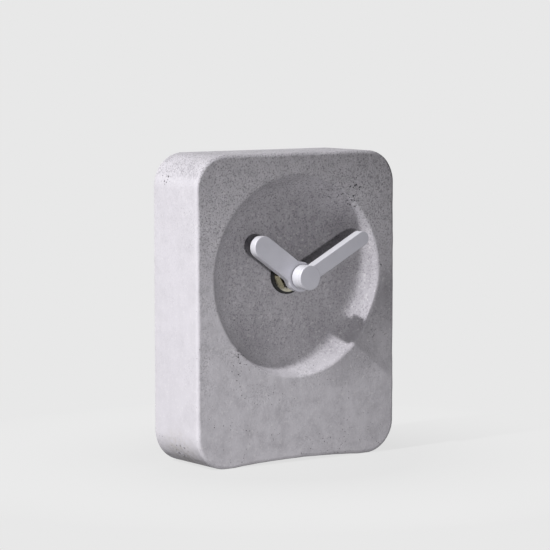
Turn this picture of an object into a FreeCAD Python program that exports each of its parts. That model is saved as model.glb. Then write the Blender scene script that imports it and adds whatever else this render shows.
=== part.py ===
import FreeCAD, Part
import math
import os
import Sketcher

# A small table clock: a cast concrete block with a dished dial, two thick hands on a
# quartz movement that sits in a pocket in the back, and a single cell that slides out
# of the movement to the rear.
# Millimetres. The front faces -Y, +X is to the right, +Z is up. The origin is on the
# table, under the middle of the clock's overall width and depth.

os.makedirs("parts", exist_ok=True)
doc = FreeCAD.newDocument("pendulette_clock")
X_AXIS = FreeCAD.Vector(1, 0, 0)
Y_AXIS = FreeCAD.Vector(0, 1, 0)

# Driving sizes, grouped by the piece that carries them

SIZES = {
    # Concrete block: the dished dial, and how far the block reaches past it
    "bowl_radius": 42,
    "bowl_wall_reach": 13,
    "bowl_depth": 9,
    "bowl_rim_round": 1.5,
    "bowl_side_margin": 8.7,
    "bowl_top_margin": 9.9,
    "bowl_base_margin": 36.1,
    "body_corner_radius": 14,
    "front_edge_radius": 1.6,
    "back_edge_radius": 0.8,
    "foot_width": 4.7,
    "arch_rise": 1.2,
    "web_thickness": 4.8,
    "pocket_gap": 2,
    "pocket_corner_radius": 4,
    "knob_recess": 1.2,
    # Bush, washers and nut that clamp the movement to the block
    "bush_radius": 3.95,
    "bush_hole_gap": 0.3,
    "bush_past_nut": 0.7,
    "rubber_washer_radius": 8,
    "rubber_washer_thickness": 1.2,
    "brass_washer_radius": 7,
    "brass_washer_thickness": 0.5,
    "nut_corner_radius": 6.1,
    "nut_thickness": 2,
    "nut_chamfer": 0.35,
    # Hands
    "cap_radius": 5.2,
    "cap_thickness": 1.6,
    "cap_skin": 0.6,
    "minute_hand_length": 35.3,
    "minute_hand_half_width": 3.02,
    "minute_hand_thickness": 4.4,
    "minute_hand_angle": 62.2,
    "hand_gap": 0.6,
    "hour_hand_length": 27.5,
    "hour_hand_half_width": 4.73,
    "hour_hand_hub_radius": 6.3,
    "hour_hand_throat_radius": 4,
    "hour_hand_thickness": 3.8,
    "hour_shown": 10,
    "hand_edge_round": 0.25,
    "collet_radius": 4,
    "collet_length": 1.6,
    "collet_gap": 1.2,
    # Coaxial tubes and the centre arbor
    "hour_tube_radius": 2.65,
    "cannon_radius": 1.75,
    "cannon_thread_radius": 1.45,
    "cannon_journal_radius": 1.2,
    "centre_arbor_radius": 0.5,
    "running_gap": 0.06,
    "seat_gap": 0.03,
    # Movement case
    "movement_corner_radius": 3,
    "case_wall": 1.5,
    "case_front_wall": 1.2,
    "partition_thickness": 0.8,
    "cover_thickness": 1.2,
    "cover_hook_width": 5,
    "cover_hook_length": 2,
    "cover_hook_thickness": 0.9,
    "post_radius": 1.6,
    "post_inset": 3,
    "plate_thickness": 1,
    "plate_gap": 0.3,
    "blind_bearing_depth": 0.8,
    "end_shake": 0.2,
    # Wheels: planes, the third wheel's distance from the centre, the room that wheels leave
    # to arbors and walls, and the angles of the lines of centres
    "plane_gap": 0.3,
    "motion_thickness": 1,
    "wheel_thickness": 0.8,
    "arbor_radius": 0.35,
    "third_distance": 7.2,
    "motion_step": 0.3,
    "arbor_clearance": 0.445,
    "centre_clearance": 0.96,
    "wheel_clearance": 0.7,
    "third_angle": 160,
    "fifth_angle": 50,
    "rotor_angle": 100,
    "reduction_angle": 215,
    "setting_angle": 170,
    "backlash": 0.04,
    # Wheels: numbers of teeth
    "rotor_pinion_teeth": 10,
    "fifth_wheel_teeth": 60,
    "fifth_pinion_teeth": 12,
    "second_wheel_teeth": 60,
    "second_pinion_teeth": 8,
    "third_wheel_teeth": 60,
    "third_pinion_teeth": 8,
    "minute_wheel_teeth": 64,
    "cannon_teeth": 12,
    "reduction_wheel_teeth": 36,
    "reduction_pinion_teeth": 10,
    "hour_wheel_teeth": 40,
    "setting_teeth": 12,
    # Setting knob
    "setting_shaft_radius": 1,
    "knob_radius": 5.5,
    "knob_thickness": 1.7,
    "knob_gap": 0.3,
    "knob_grip_radius": 0.5,
    "knob_grips": 18,
    # Stepping motor
    "magnet_radius": 3,
    "magnet_thickness": 2.6,
    "stator_thickness": 1,
    "stator_gap": 0.5,
    "stator_arm_width": 5,
    "stator_pole_margin": 1.2,
    "stator_end_margin": 0.5,
    "core_height": 3,
    "bobbin_length": 22,
    "bobbin_end_gap": 0.5,
    "bobbin_barrel_radius": 2.4,
    "bobbin_flange_thickness": 0.8,
    "winding_radius": 3.8,
    "flange_proud": 0.5,
    "coil_clearance": 0.3,
    "coil_cover_gap": 0.4,
    "coil_top_gap": 2.5,
    "stator_post_radius": 1.4,
    # Circuit board
    "board_thickness": 0.8,
    "board_wall_gap": 2,
    "board_width": 11,
    "board_bottom": -8,
    "board_height": 22,
    "chip_radius": 3,
    "chip_top_radius": 2,
    "chip_height": 0.9,
    "crystal_radius": 1,
    "crystal_length": 6,
    "crystal_drop": 3,
    # Cell and its contacts
    "cell_radius": 7,
    "cell_length": 48.5,
    "cell_edge_round": 0.6,
    "nub_radius": 2.6,
    "nub_length": 1.3,
    "cell_gap": 0.45,
    "cell_sunk": 0.5,
    "contact_gap": 0.05,
    "contact_thickness": 0.3,
    "contact_half_height": 4.5,
    "contact_width": 8,
    "tail_width": 2,
    "foot_reach": 2.5,
    "leaf_reach": 2.4,
    "leaf_half_height": 3,
    # Cuts run past the face that they open by this much
    "overrun": 1,
}

# Places and sizes that follow from these. Depths run along Y from the front to the back.
# The words of a place come from the two lists, and a later place may use an earlier one.
# A wheel's tip radius is its distance from its pinion, times its teeth plus one, over the
# teeth of both. The movement is as deep, and as wide, as its cell, wheels and coil need.

PLACES = {
    "hub_height": "bowl_base_margin + bowl_radius",
    "body_height": "hub_height + bowl_radius + bowl_top_margin",
    "body_width": "2 * (bowl_radius + bowl_side_margin)",
    "arch_half_span": "body_width / 2 - body_corner_radius - foot_width",
    "bowl_floor_radius": "bowl_radius - bowl_wall_reach",
    "cap_proud": "cap_thickness + minute_hand_thickness + hand_gap + hour_hand_thickness"
                 " + collet_length + collet_gap + bush_past_nut + nut_thickness"
                 " + brass_washer_thickness + rubber_washer_thickness - bowl_depth",
    "fifth_distance": "(third_distance - arbor_radius - arbor_clearance)"
                      " * (second_wheel_teeth + fifth_pinion_teeth) / (second_wheel_teeth + 1)",
    "rotor_distance": "(fifth_distance - centre_arbor_radius - centre_clearance)"
                      " * (fifth_wheel_teeth + rotor_pinion_teeth) / (fifth_wheel_teeth + 1)",
    "reduction_distance": "third_distance + motion_step",
    "rotor_rise": "fifth_distance * sin(fifth_angle) + rotor_distance * sin(rotor_angle)",
    "bobbin_flange_radius": "winding_radius + flange_proud",
    "stator_half_span": "bobbin_length / 2 + bobbin_end_gap + stator_arm_width",
    "coil_height": "rotor_rise + magnet_radius + stator_gap + stator_pole_margin"
                   " + coil_clearance + bobbin_flange_radius",
    "cell_row": "cell_length + nub_length + leaf_reach + 4 * contact_gap + 2 * contact_thickness",
    "cell_room_height": "2 * (cell_radius + cell_gap) + partition_thickness",
    "train_drop": "reduction_distance * (reduction_wheel_teeth + 1)"
                  " / (reduction_wheel_teeth + cannon_teeth)"
                  " - reduction_distance * sin(reduction_angle) + wheel_clearance",
    "coil_reach": "coil_height + core_height / 2 + stator_end_margin + coil_top_gap",
    "half_room": "max(cell_row / 2; cell_room_height + train_drop; coil_reach)",
    "half_side": "half_room + case_wall",
    "movement_side": "2 * half_side",
    "pocket_side": "movement_side + 2 * pocket_gap",
    "plate_back_depth": "case_front_wall + 3 * plane_gap + 2 * motion_thickness + plate_thickness",
    "rotor_depth": "plate_back_depth + 5 * plane_gap + 4 * wheel_thickness",
    "coil_depth": "rotor_depth + magnet_thickness / 2 - stator_thickness"
                  " + bobbin_flange_radius + coil_cover_gap + cover_thickness",
    "cell_depth": "case_front_wall + plane_gap + 2 * cell_radius + cell_sunk",
    "movement_depth": "max(cell_depth; coil_depth)",
    "body_depth": "bowl_depth + web_thickness + movement_depth + knob_gap + knob_thickness"
                  " + knob_recess",
    "face_y": "-(body_depth - cap_proud) / 2",
    "floor_y": "face_y + bowl_depth",
    "case_y": "floor_y + web_thickness",
    "washer_y": "floor_y - rubber_washer_thickness",
    "brass_washer_y": "washer_y - brass_washer_thickness",
    "nut_y": "brass_washer_y - nut_thickness",
    "bush_y": "nut_y - bush_past_nut",
    "bush_bore": "hour_tube_radius + running_gap",
    "cap_y": "face_y - cap_proud",
    "minute_hand_y": "cap_y + cap_thickness",
    "hour_hand_y": "minute_hand_y + minute_hand_thickness + hand_gap",
    "hour_hand_back_y": "hour_hand_y + hour_hand_thickness",
    "hour_hand_angle": "hour_shown * 30 + minute_hand_angle / 12",
    "hour_wheel_y": "case_y + case_front_wall + plane_gap",
    "motion_y": "hour_wheel_y + motion_thickness + plane_gap",
    "plate_y": "motion_y + motion_thickness + plane_gap",
    "plate_back_y": "plate_y + plate_thickness",
    "minute_wheel_y": "plate_back_y + plane_gap",
    "third_y": "minute_wheel_y + wheel_thickness + plane_gap",
    "second_y": "third_y + wheel_thickness + plane_gap",
    "fifth_y": "second_y + wheel_thickness + plane_gap",
    "rotor_y": "fifth_y + wheel_thickness + plane_gap",
    "cover_y": "case_y + movement_depth - cover_thickness",
    "cover_back_y": "case_y + movement_depth",
    "case_z": "hub_height - half_side",
    "pocket_z": "hub_height - pocket_side / 2",
    "cell_z": "hub_height - half_room + cell_gap + cell_radius",
    "cell_y": "case_y + case_front_wall + plane_gap + cell_radius",
    "partition_z": "cell_z + cell_radius + cell_gap",
    "train_z": "partition_z + partition_thickness",
    "train_top_z": "hub_height + half_room",
    "third_x": "third_distance * cos(third_angle)",
    "third_z": "hub_height + third_distance * sin(third_angle)",
    "fifth_x": "fifth_distance * cos(fifth_angle)",
    "fifth_z": "hub_height + fifth_distance * sin(fifth_angle)",
    "rotor_x": "fifth_x + rotor_distance * cos(rotor_angle)",
    "rotor_z": "fifth_z + rotor_distance * sin(rotor_angle)",
    "reduction_x": "reduction_distance * cos(reduction_angle)",
    "reduction_z": "hub_height + reduction_distance * sin(reduction_angle)",
    "setting_distance": "reduction_distance * (reduction_wheel_teeth + setting_teeth)"
                        " / (reduction_wheel_teeth + cannon_teeth)",
    "setting_x": "reduction_x + setting_distance * cos(setting_angle)",
    "setting_z": "reduction_z + setting_distance * sin(setting_angle)",
    "bearing_radius": "arbor_radius + running_gap",
    "setting_bearing": "setting_shaft_radius + running_gap",
    "journal_bearing": "cannon_journal_radius + running_gap",
    "stator_y": "rotor_y + (magnet_thickness - stator_thickness) / 2",
    "core_y": "stator_y - stator_thickness",
    "core_mid_y": "core_y + stator_thickness / 2",
    "coil_z": "hub_height + coil_height",
    "board_left": "half_room - board_wall_gap - board_width",
    "board_z": "hub_height + board_bottom",
    "board_back_y": "plate_back_y + board_thickness",
    "foot_y": "board_back_y + contact_gap",
    "blind_y": "case_y + case_front_wall - blind_bearing_depth",
    "pivot_front_y": "plate_y + end_shake",
    "pivot_back_y": "cover_y + blind_bearing_depth - end_shake",
    "contact_x": "half_room - contact_gap - contact_thickness",
    "nub_x": "contact_x - contact_gap",
    "cell_x": "nub_x - nub_length - cell_length",
}


def fill_sheets():
    """Writes the sizes as plain numbers in one sheet and the places as formulas in another."""
    sizes = doc.addObject("Spreadsheet::Sheet", "sizes")
    for row, (name, number) in enumerate(SIZES.items(), 1):
        sizes.set("A%d" % row, name)
        sizes.set("B%d" % row, str(number))
        sizes.setAlias("B%d" % row, name)
    places = doc.addObject("Spreadsheet::Sheet", "places")
    for row, (name, words) in enumerate(PLACES.items(), 1):
        places.set("A%d" % row, name)
        places.set("B%d" % row, "=" + formula(words))
        places.setAlias("B%d" % row, name)
    doc.recompute()


def formula(words):
    """Puts the sheet's name before each size in a formula, and before each place."""
    result = []
    word = ""
    for letter in words + " ":
        if letter.isalnum() or letter == "_":
            word += letter
            continue
        if word in SIZES:
            word = "sizes." + word
        elif word in PLACES:
            word = "places." + word
        result.append(word + letter)
        word = ""
    return "".join(result).strip()


def value(name):
    """The number that a size or a place has now, read from its sheet."""
    sheet = doc.sizes if name in SIZES else doc.places
    return float(sheet.get(name))


fill_sheets()
nodes = []


def finish(piece, label):
    """Gives a finished sub-part its label and puts it on the list of files to write."""
    piece.Label = label
    nodes.append(piece)
    return piece


# Primitives and booleans whose sizes are bound to the sheets

def bind(piece, **formulas):
    for prop, words in formulas.items():
        piece.setExpression(prop.replace("__", "."), formula(words))


def cylinder(name, radius, length, x, y, z, axis="y"):
    """A cylinder that starts at x, y, z and runs along +Y, or along +X."""
    piece = doc.addObject("Part::Cylinder", name)
    turn = FreeCAD.Rotation(X_AXIS, -90) if axis == "y" else FreeCAD.Rotation(Y_AXIS, 90)
    piece.Placement = FreeCAD.Placement(FreeCAD.Vector(), turn)
    bind(piece, Radius=radius, Height=length)
    bind(piece, Placement__Base__x=x, Placement__Base__y=y, Placement__Base__z=z)
    return piece


def box(name, x, y, z, width, depth, height):
    """A box whose lowest corner is at x, y, z."""
    piece = doc.addObject("Part::Box", name)
    bind(piece, Length=width, Width=depth, Height=height)
    bind(piece, Placement__Base__x=x, Placement__Base__y=y, Placement__Base__z=z)
    return piece


def fuse(name, *pieces):
    piece = doc.addObject("Part::MultiFuse", name)
    piece.Shapes = list(pieces)
    return piece


def cut(name, base, *tools):
    piece = doc.addObject("Part::Cut", name)
    piece.Base = base
    piece.Tool = tools[0] if len(tools) == 1 else fuse(name + "_tools", *tools)
    return piece


def tube(name, radius, bore, length, x, y, z, axis="y"):
    """A cylinder with a round hole right through it."""
    outer = cylinder(name + "_outside", radius, length, x, y, z, axis)
    inner = cylinder(name + "_bore", bore, length, x, y, z, axis)
    return cut(name, outer, inner)


# Sketched bodies

def origin_plane(body, role):
    return [plane for plane in body.Origin.OriginFeatures if plane.Role == role][0]


def sketch_on(body, name, role, **offsets):
    """A sketch on one of the body's own origin planes, moved by formulas for x, y or z."""
    sketch = body.newObject("Sketcher::SketchObject", name)
    sketch.AttachmentSupport = [(origin_plane(body, role), "")]
    sketch.MapMode = "FlatFace"
    for letter, words in offsets.items():
        sketch.setExpression("AttachmentOffset.Base." + letter, formula(words))
    return sketch


def line(sketch, start, end):
    return sketch.addGeometry(Part.LineSegment(FreeCAD.Vector(*start), FreeCAD.Vector(*end)))


def arc(sketch, centre, radius, start, end):
    """An arc that runs anticlockwise between two angles in degrees."""
    circle = Part.Circle(FreeCAD.Vector(*centre), FreeCAD.Vector(0, 0, 1), radius)
    return sketch.addGeometry(Part.ArcOfCircle(circle, math.radians(start), math.radians(end)))


def rule(sketch, *terms):
    return sketch.addConstraint(Sketcher.Constraint(*terms))


def measure(sketch, words, *terms):
    """A dimension of the sketch that is bound to a formula of the sheets."""
    index = rule(sketch, *terms)
    sketch.setExpression("Constraints[%d]" % index, formula(words))


def rounded_rectangle(sketch, width, height, radius, bottom):
    """A rectangle with round corners, centred on the upright axis; the terms are size names."""
    half = value(width) / 2
    round_ = value(radius)
    low = value(bottom) if bottom else 0
    high = low + value(height)
    corners = [(half, low, -90), (half, high, 0), (-half, high, 90), (-half, low, 180)]
    points = [(-half + round_, low), (half - round_, low), (half, low + round_),
              (half, high - round_), (half - round_, high), (-half + round_, high),
              (-half, high - round_), (-half, low + round_)]
    for side in range(4):
        line(sketch, points[2 * side] + (0,), points[2 * side + 1] + (0,))
    for x, z, start in corners:
        centre = (x - math.copysign(round_, x), z + (round_ if z == low else -round_), 0)
        arc(sketch, centre, round_, start, start + 90)
    for side in range(4):
        rule(sketch, "Tangent", side, 2, 4 + side, 1)
        rule(sketch, "Tangent", 4 + side, 2, (side + 1) % 4, 1)
    rule(sketch, "Symmetric", 0, 1, 0, 2, -2)
    rule(sketch, "Horizontal", 2)
    rule(sketch, "Vertical", 1)
    rule(sketch, "Vertical", 3)
    for corner in range(5, 8):
        rule(sketch, "Equal", 4, corner)
    measure(sketch, radius, "Radius", 4, round_)
    measure(sketch, width, "DistanceX", 3, 1, 1, 1, 2 * half)
    measure(sketch, height, "DistanceY", 0, 1, 2, 1, high - low)
    if bottom:
        measure(sketch, bottom, "DistanceY", -1, 1, 0, 1, low)
    else:
        rule(sketch, "PointOnObject", 0, 1, -1)


def circle(sketch, radius, height=None):
    """A circle at the sketch's origin, or at a height above it; both terms start with a name."""
    about = value(radius.split()[0])
    index = sketch.addGeometry(Part.Circle(FreeCAD.Vector(), FreeCAD.Vector(0, 0, 1), about))
    if height:
        rule(sketch, "PointOnObject", index, 3, -2)
        measure(sketch, height, "DistanceY", -1, 1, index, 3, value(height.split()[0]))
    else:
        rule(sketch, "Coincident", index, 3, -1, 1)
    measure(sketch, radius, "Radius", index, about)


def pad(body, name, sketch, length):
    """Grows a sketch on the XZ plane towards the back."""
    feature = body.newObject("PartDesign::Pad", name)
    feature.Profile = sketch
    feature.Reversed = True
    bind(feature, Length=length)
    return feature


def pocket(body, name, sketch, depth=None):
    """Cuts a sketch on the XZ plane towards the back, right through where no depth is given."""
    feature = body.newObject("PartDesign::Pocket", name)
    feature.Profile = sketch
    if depth:
        bind(feature, Length=depth)
    else:
        feature.Type = "ThroughAll"
    return feature


def round_edges(body, name, radius, chosen):
    """Rounds the edges of the body that the test picks."""
    doc.recompute()
    base = body.Tip
    edges = ["Edge%d" % (i + 1) for i, edge in enumerate(base.Shape.Edges) if chosen(edge)]
    feature = body.newObject("PartDesign::Fillet", name)
    feature.Base = (base, edges)
    bind(feature, Radius=radius)
    return feature


def near(a, b):
    return math.isclose(a, b, abs_tol=1e-4)


def in_plane(edge, y):
    """Whether an edge lies in a plane square to Y, in its body's own frame."""
    return near(edge.BoundBox.YMin, y) and near(edge.BoundBox.YMax, y)


def is_circle(edge, radius):
    return isinstance(edge.Curve, Part.Circle) and near(edge.Curve.Radius, radius)


# Concrete block: cast in one piece, with the dished dial in front, a pocket for the
# movement behind, a hole for the bush between them, and a base that arches off the table

def concrete_body():
    body = doc.addObject("PartDesign::Body", "concrete_body")
    bind(body, Placement__Base__y="face_y")

    outline = sketch_on(body, "block_outline", "XZ_Plane")
    rounded_rectangle(outline, "body_width", "body_height", "body_corner_radius", None)
    pad(body, "block", outline, "body_depth")

    arch = sketch_on(body, "base_arch", "XZ_Plane")
    span = value("arch_half_span")
    rise = value("arch_rise")
    low = -value("overrun")
    radius = (span ** 2 + rise ** 2) / (2 * rise)
    lean = math.degrees(math.asin(span / radius))
    arc(arch, (0, rise - radius, 0), radius, 90 - lean, 90 + lean)
    line(arch, (-span, 0, 0), (-span, low, 0))
    line(arch, (-span, low, 0), (span, low, 0))
    line(arch, (span, low, 0), (span, 0, 0))
    rule(arch, "Coincident", 0, 2, 1, 1)
    rule(arch, "Coincident", 1, 2, 2, 1)
    rule(arch, "Coincident", 2, 2, 3, 1)
    rule(arch, "Coincident", 3, 2, 0, 1)
    rule(arch, "Symmetric", 1, 1, 3, 2, -2)
    rule(arch, "Vertical", 1)
    rule(arch, "Vertical", 3)
    rule(arch, "Horizontal", 2)
    rule(arch, "PointOnObject", 1, 1, -1)
    measure(arch, "overrun", "DistanceY", 1, 2, 1, 1, -low)
    measure(arch, "2 * arch_half_span", "DistanceX", 2, 1, 2, 2, 2 * span)
    measure(arch, "(arch_half_span ^ 2 + arch_rise ^ 2) / (2 * arch_rise)", "Radius", 0, radius)
    pocket(body, "arch_under_base", arch)

    dish = sketch_on(body, "dish_profile", "YZ_Plane", y="hub_height")
    depth = value("bowl_depth")
    floor = value("bowl_floor_radius")
    rim = value("bowl_radius")
    front = -value("overrun")
    sweep = ((rim - floor) ** 2 + depth ** 2) / (2 * depth)
    climb = math.degrees(math.asin((rim - floor) / sweep))
    line(dish, (front, 0, 0), (depth, 0, 0))
    line(dish, (depth, 0, 0), (depth, floor, 0))
    arc(dish, (depth - sweep, floor, 0), sweep, 0, climb)
    line(dish, (0, rim, 0), (front, rim, 0))
    line(dish, (front, rim, 0), (front, 0, 0))
    rule(dish, "Coincident", 0, 2, 1, 1)
    rule(dish, "Tangent", 1, 2, 2, 1)
    rule(dish, "Coincident", 2, 2, 3, 1)
    rule(dish, "Coincident", 3, 2, 4, 1)
    rule(dish, "Coincident", 4, 2, 0, 1)
    rule(dish, "PointOnObject", 0, 1, -1)
    rule(dish, "Horizontal", 0)
    rule(dish, "Vertical", 1)
    rule(dish, "PointOnObject", 2, 2, -2)
    rule(dish, "Horizontal", 3)
    rule(dish, "Vertical", 4)
    measure(dish, "bowl_depth", "DistanceX", -1, 1, 0, 2, depth)
    measure(dish, "overrun", "DistanceX", 0, 1, -1, 1, -front)
    measure(dish, "bowl_floor_radius", "DistanceY", 1, 1, 1, 2, floor)
    measure(dish, "bowl_radius", "DistanceY", -1, 1, 2, 2, rim)
    groove = body.newObject("PartDesign::Groove", "dished_dial")
    groove.Profile = dish
    groove.ReferenceAxis = (dish, ["H_Axis"])
    groove.Angle = 360

    passage = sketch_on(body, "bush_passage", "XZ_Plane")
    circle(passage, "bush_radius + bush_hole_gap", "hub_height")
    pocket(body, "passage_for_bush", passage)

    room = sketch_on(body, "movement_pocket", "XZ_Plane", z="-(bowl_depth + web_thickness)")
    rounded_rectangle(room, "pocket_side", "pocket_side", "pocket_corner_radius", "pocket_z")
    pocket(body, "pocket_for_movement", room)

    rim = value("bowl_radius")
    round_edges(body, "soft_rim", "bowl_rim_round",
                lambda edge: in_plane(edge, 0) and is_circle(edge, rim))
    round_edges(body, "soft_front_edge", "front_edge_radius",
                lambda edge: in_plane(edge, 0) and not edge.isClosed())
    back = value("body_depth")
    half_pocket = value("pocket_side") / 2
    hub = value("hub_height")
    round_edges(body, "soft_back_edge", "back_edge_radius",
                lambda edge: in_plane(edge, back)
                and max(abs(edge.CenterOfMass.x), abs(edge.CenterOfMass.z - hub)) > half_pocket)
    return body


finish(concrete_body(), "concrete_body")


# Bush, washers and nut. The movement's brass bush comes forward through the block, and
# the nut draws the movement up against the web behind the dial.

BUSH_BACK = "case_y + case_front_wall"


def clamp_stack():
    bush = tube("bush", "bush_radius", "bush_bore", BUSH_BACK + " - bush_y",
                "0", "bush_y", "hub_height")
    finish(bush, "threaded_bush")
    bore = "bush_radius + seat_gap"
    rubber = tube("rubber_ring", "rubber_washer_radius", bore, "rubber_washer_thickness",
                  "0", "washer_y", "hub_height")
    finish(rubber, "rubber_washer")
    brass = tube("brass_ring", "brass_washer_radius", bore, "brass_washer_thickness",
                 "0", "brass_washer_y", "hub_height")
    finish(brass, "brass_washer")

    hexagon = doc.addObject("Part::Prism", "nut_hexagon")
    hexagon.Polygon = 6
    hexagon.Placement = FreeCAD.Placement(FreeCAD.Vector(), FreeCAD.Rotation(X_AXIS, -90))
    bind(hexagon, Circumradius="nut_corner_radius", Height="nut_thickness",
         Placement__Base__y="nut_y", Placement__Base__z="hub_height")
    turned = doc.addObject("Part::Cone", "nut_chamfer_cone")
    turned.Placement = hexagon.Placement
    bind(turned, Radius1="nut_corner_radius - nut_chamfer",
         Radius2="nut_corner_radius - nut_chamfer + nut_thickness", Height="nut_thickness",
         Placement__Base__y="nut_y", Placement__Base__z="hub_height")
    chamfered = doc.addObject("Part::Common", "chamfered_nut")
    chamfered.Base = hexagon
    chamfered.Tool = turned
    nut = cut("nut", chamfered, cylinder("nut_bore", bore, "nut_thickness",
                                         "0", "nut_y", "hub_height"))
    finish(nut, "hex_nut")


clamp_stack()


# Hands: thick flat bars with round ends, each on a round hub. The hour hand grips the
# hour tube by its collet, the minute hand sits on the minute tube under a screwed cap.

def hand(label, length, half_width, thickness, hub_radius, bore, throat_radius=None):
    """A hand drawn pointing up from its own hub, with its front face at y = 0."""
    body = doc.addObject("PartDesign::Body", label)
    half = value(half_width)
    reach = value(length) - half
    bar = sketch_on(body, label + "_bar_outline", "XZ_Plane")
    line(bar, (-half, 0, 0), (half, 0, 0))
    line(bar, (half, 0, 0), (half, reach, 0))
    arc(bar, (0, reach, 0), half, 0, 180)
    line(bar, (-half, reach, 0), (-half, 0, 0))
    rule(bar, "Coincident", 0, 2, 1, 1)
    rule(bar, "Tangent", 1, 2, 2, 1)
    rule(bar, "Tangent", 2, 2, 3, 1)
    rule(bar, "Coincident", 3, 2, 0, 1)
    rule(bar, "Symmetric", 0, 1, 0, 2, -1, 1)
    rule(bar, "Vertical", 1)
    measure(bar, half_width, "Radius", 2, half)
    measure(bar, "%s - %s" % (length, half_width), "DistanceY", 1, 1, 1, 2, reach)
    pad(body, label + "_bar", bar, thickness)

    disc = sketch_on(body, label + "_hub_outline", "XZ_Plane")
    circle(disc, hub_radius)
    pad(body, label + "_hub", disc, thickness)
    if throat_radius:
        hub = value(hub_radius)
        meet = math.sqrt(hub ** 2 - half ** 2)
        deep = value(thickness)
        round_edges(body, label + "_throat", throat_radius,
                    lambda edge: near(edge.BoundBox.YMax - edge.BoundBox.YMin, deep)
                    and near(edge.CenterOfMass.z, meet))
    seat = sketch_on(body, label + "_seat_outline", "XZ_Plane")
    circle(seat, bore + " + seat_gap")
    pocket(body, label + "_seat", seat)
    round_edges(body, label + "_soft_edge", "hand_edge_round",
                lambda edge: in_plane(edge, 0) and not edge.isClosed())
    return body


def hands():
    hour = hand("hour_hand", "hour_hand_length", "hour_hand_half_width", "hour_hand_thickness",
                "hour_hand_hub_radius", "hour_tube_radius", "hour_hand_throat_radius")
    minute = hand("minute_hand", "minute_hand_length", "minute_hand_half_width",
                  "minute_hand_thickness", "cap_radius", "cannon_radius")
    for body, front, angle in ((hour, "hour_hand_y", "hour_hand_angle"),
                               (minute, "minute_hand_y", "minute_hand_angle")):
        body.Placement = FreeCAD.Placement(FreeCAD.Vector(), FreeCAD.Rotation(Y_AXIS, 90))
        bind(body, Placement__Base__y=front, Placement__Base__z="hub_height",
             Placement__Rotation__Angle=angle)
        finish(body, body.Label)

    collet = tube("hour_collet", "collet_radius", "hour_tube_radius + seat_gap", "collet_length",
                  "0", "hour_hand_back_y", "hub_height")
    finish(collet, "hour_hand_collet")

    cap = doc.addObject("PartDesign::Body", "minute_cap")
    bind(cap, Placement__Base__y="cap_y", Placement__Base__z="hub_height")
    face = sketch_on(cap, "cap_outline", "XZ_Plane")
    circle(face, "cap_radius")
    pad(cap, "cap_disc", face, "cap_thickness")
    thread = sketch_on(cap, "cap_thread_outline", "XZ_Plane", z="-cap_skin")
    circle(thread, "cannon_thread_radius + seat_gap")
    pocket(cap, "cap_thread", thread)
    rim = value("cap_radius")
    round_edges(cap, "cap_soft_edge", "hand_edge_round",
                lambda edge: in_plane(edge, 0) and is_circle(edge, rim))
    finish(cap, "minute_hand_cap")


hands()


# Movement case: a square moulded box, open at the back, with a wall between the room
# for the wheels and the room for the cell. Inside it lie a plate and, behind, a cover.

def rounded_block(label, thickness, y):
    """A plate with the outline of the movement."""
    body = doc.addObject("PartDesign::Body", label)
    bind(body, Placement__Base__y=y, Placement__Base__z="case_z")
    outline = sketch_on(body, label + "_outline", "XZ_Plane")
    rounded_rectangle(outline, "movement_side", "movement_side", "movement_corner_radius", None)
    pad(body, label + "_pad", outline, thickness)
    return body


def hole(name, radius, y, depth, x="0", z="hub_height"):
    return cylinder(name, radius, depth, x, y, z)


def pivots(name, y, depth):
    """The bearing holes of the arbors that run between the plate and the cover."""
    return [hole(name + wheel, "bearing_radius", y, depth, wheel + "_x", wheel + "_z")
            for wheel in ("third", "fifth", "rotor")]


def movement_case():
    floor = "case_y + case_front_wall"
    shell = rounded_block("case_block", "movement_depth - cover_thickness", "case_y")
    wheels_room = box("wheels_room", "-half_room", floor, "train_z",
                      "2 * half_room", "movement_depth", "train_top_z - train_z")
    cell_room = box("cell_room", "-half_room", floor, "hub_height - half_room",
                    "2 * half_room", "movement_depth", "partition_z - hub_height + half_room")
    slots = [box("slot_" + side, x, "foot_y - contact_thickness", "cell_z",
                 "2 * contact_gap + contact_thickness", "movement_depth", "train_z + overrun - cell_z")
             for side, x in (("right", "contact_x - contact_gap"), ("left", "-half_room"))]
    holes = [hole("case_bush_hole", "bush_radius + seat_gap", "case_y", "case_front_wall"),
             hole("case_reduction_bearing", "bearing_radius", "blind_y", "blind_bearing_depth",
                  "reduction_x", "reduction_z"),
             hole("case_setting_bearing", "setting_bearing", "blind_y", "blind_bearing_depth",
                  "setting_x", "setting_z")]
    hollow = cut("case_hollow", shell, wheels_room, cell_room, *slots, *holes)
    posts = [cylinder("case_post_" + name, "post_radius", "plate_y - case_y - case_front_wall",
                      x, floor, z)
             for name, x, z in (("a", "post_inset - half_room", "train_z + post_inset"),
                                ("b", "half_room - post_inset", "train_z + post_inset"),
                                ("c", "post_inset - half_room", "train_top_z - post_inset"),
                                ("d", "half_room - post_inset", "train_top_z - post_inset"))]
    finish(fuse("case", hollow, *posts), "movement_case")


def middle_plate():
    sheet = box("plate_blank", "plate_gap - half_room", "plate_y", "train_z + plate_gap",
                "2 * (half_room - plate_gap)", "plate_thickness", "train_top_z - train_z - 2 * plate_gap")
    holes = [hole("plate_centre", "journal_bearing", "plate_y", "plate_thickness"),
             hole("plate_reduction", "bearing_radius", "plate_y", "plate_thickness",
                  "reduction_x", "reduction_z"),
             hole("plate_setting", "setting_bearing", "plate_y", "plate_thickness",
                  "setting_x", "setting_z")]
    drilled = cut("plate_drilled", sheet, *holes, *pivots("plate_", "plate_y", "plate_thickness"))
    posts = [cylinder("stator_post_" + side, "stator_post_radius", "core_y - plate_back_y",
                      x, "plate_back_y", "coil_z")
             for side, x in (("left", "stator_arm_width / 2 - stator_half_span"),
                             ("right", "stator_half_span - stator_arm_width / 2"))]
    finish(fuse("plate", drilled, *posts), "middle_plate")


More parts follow.
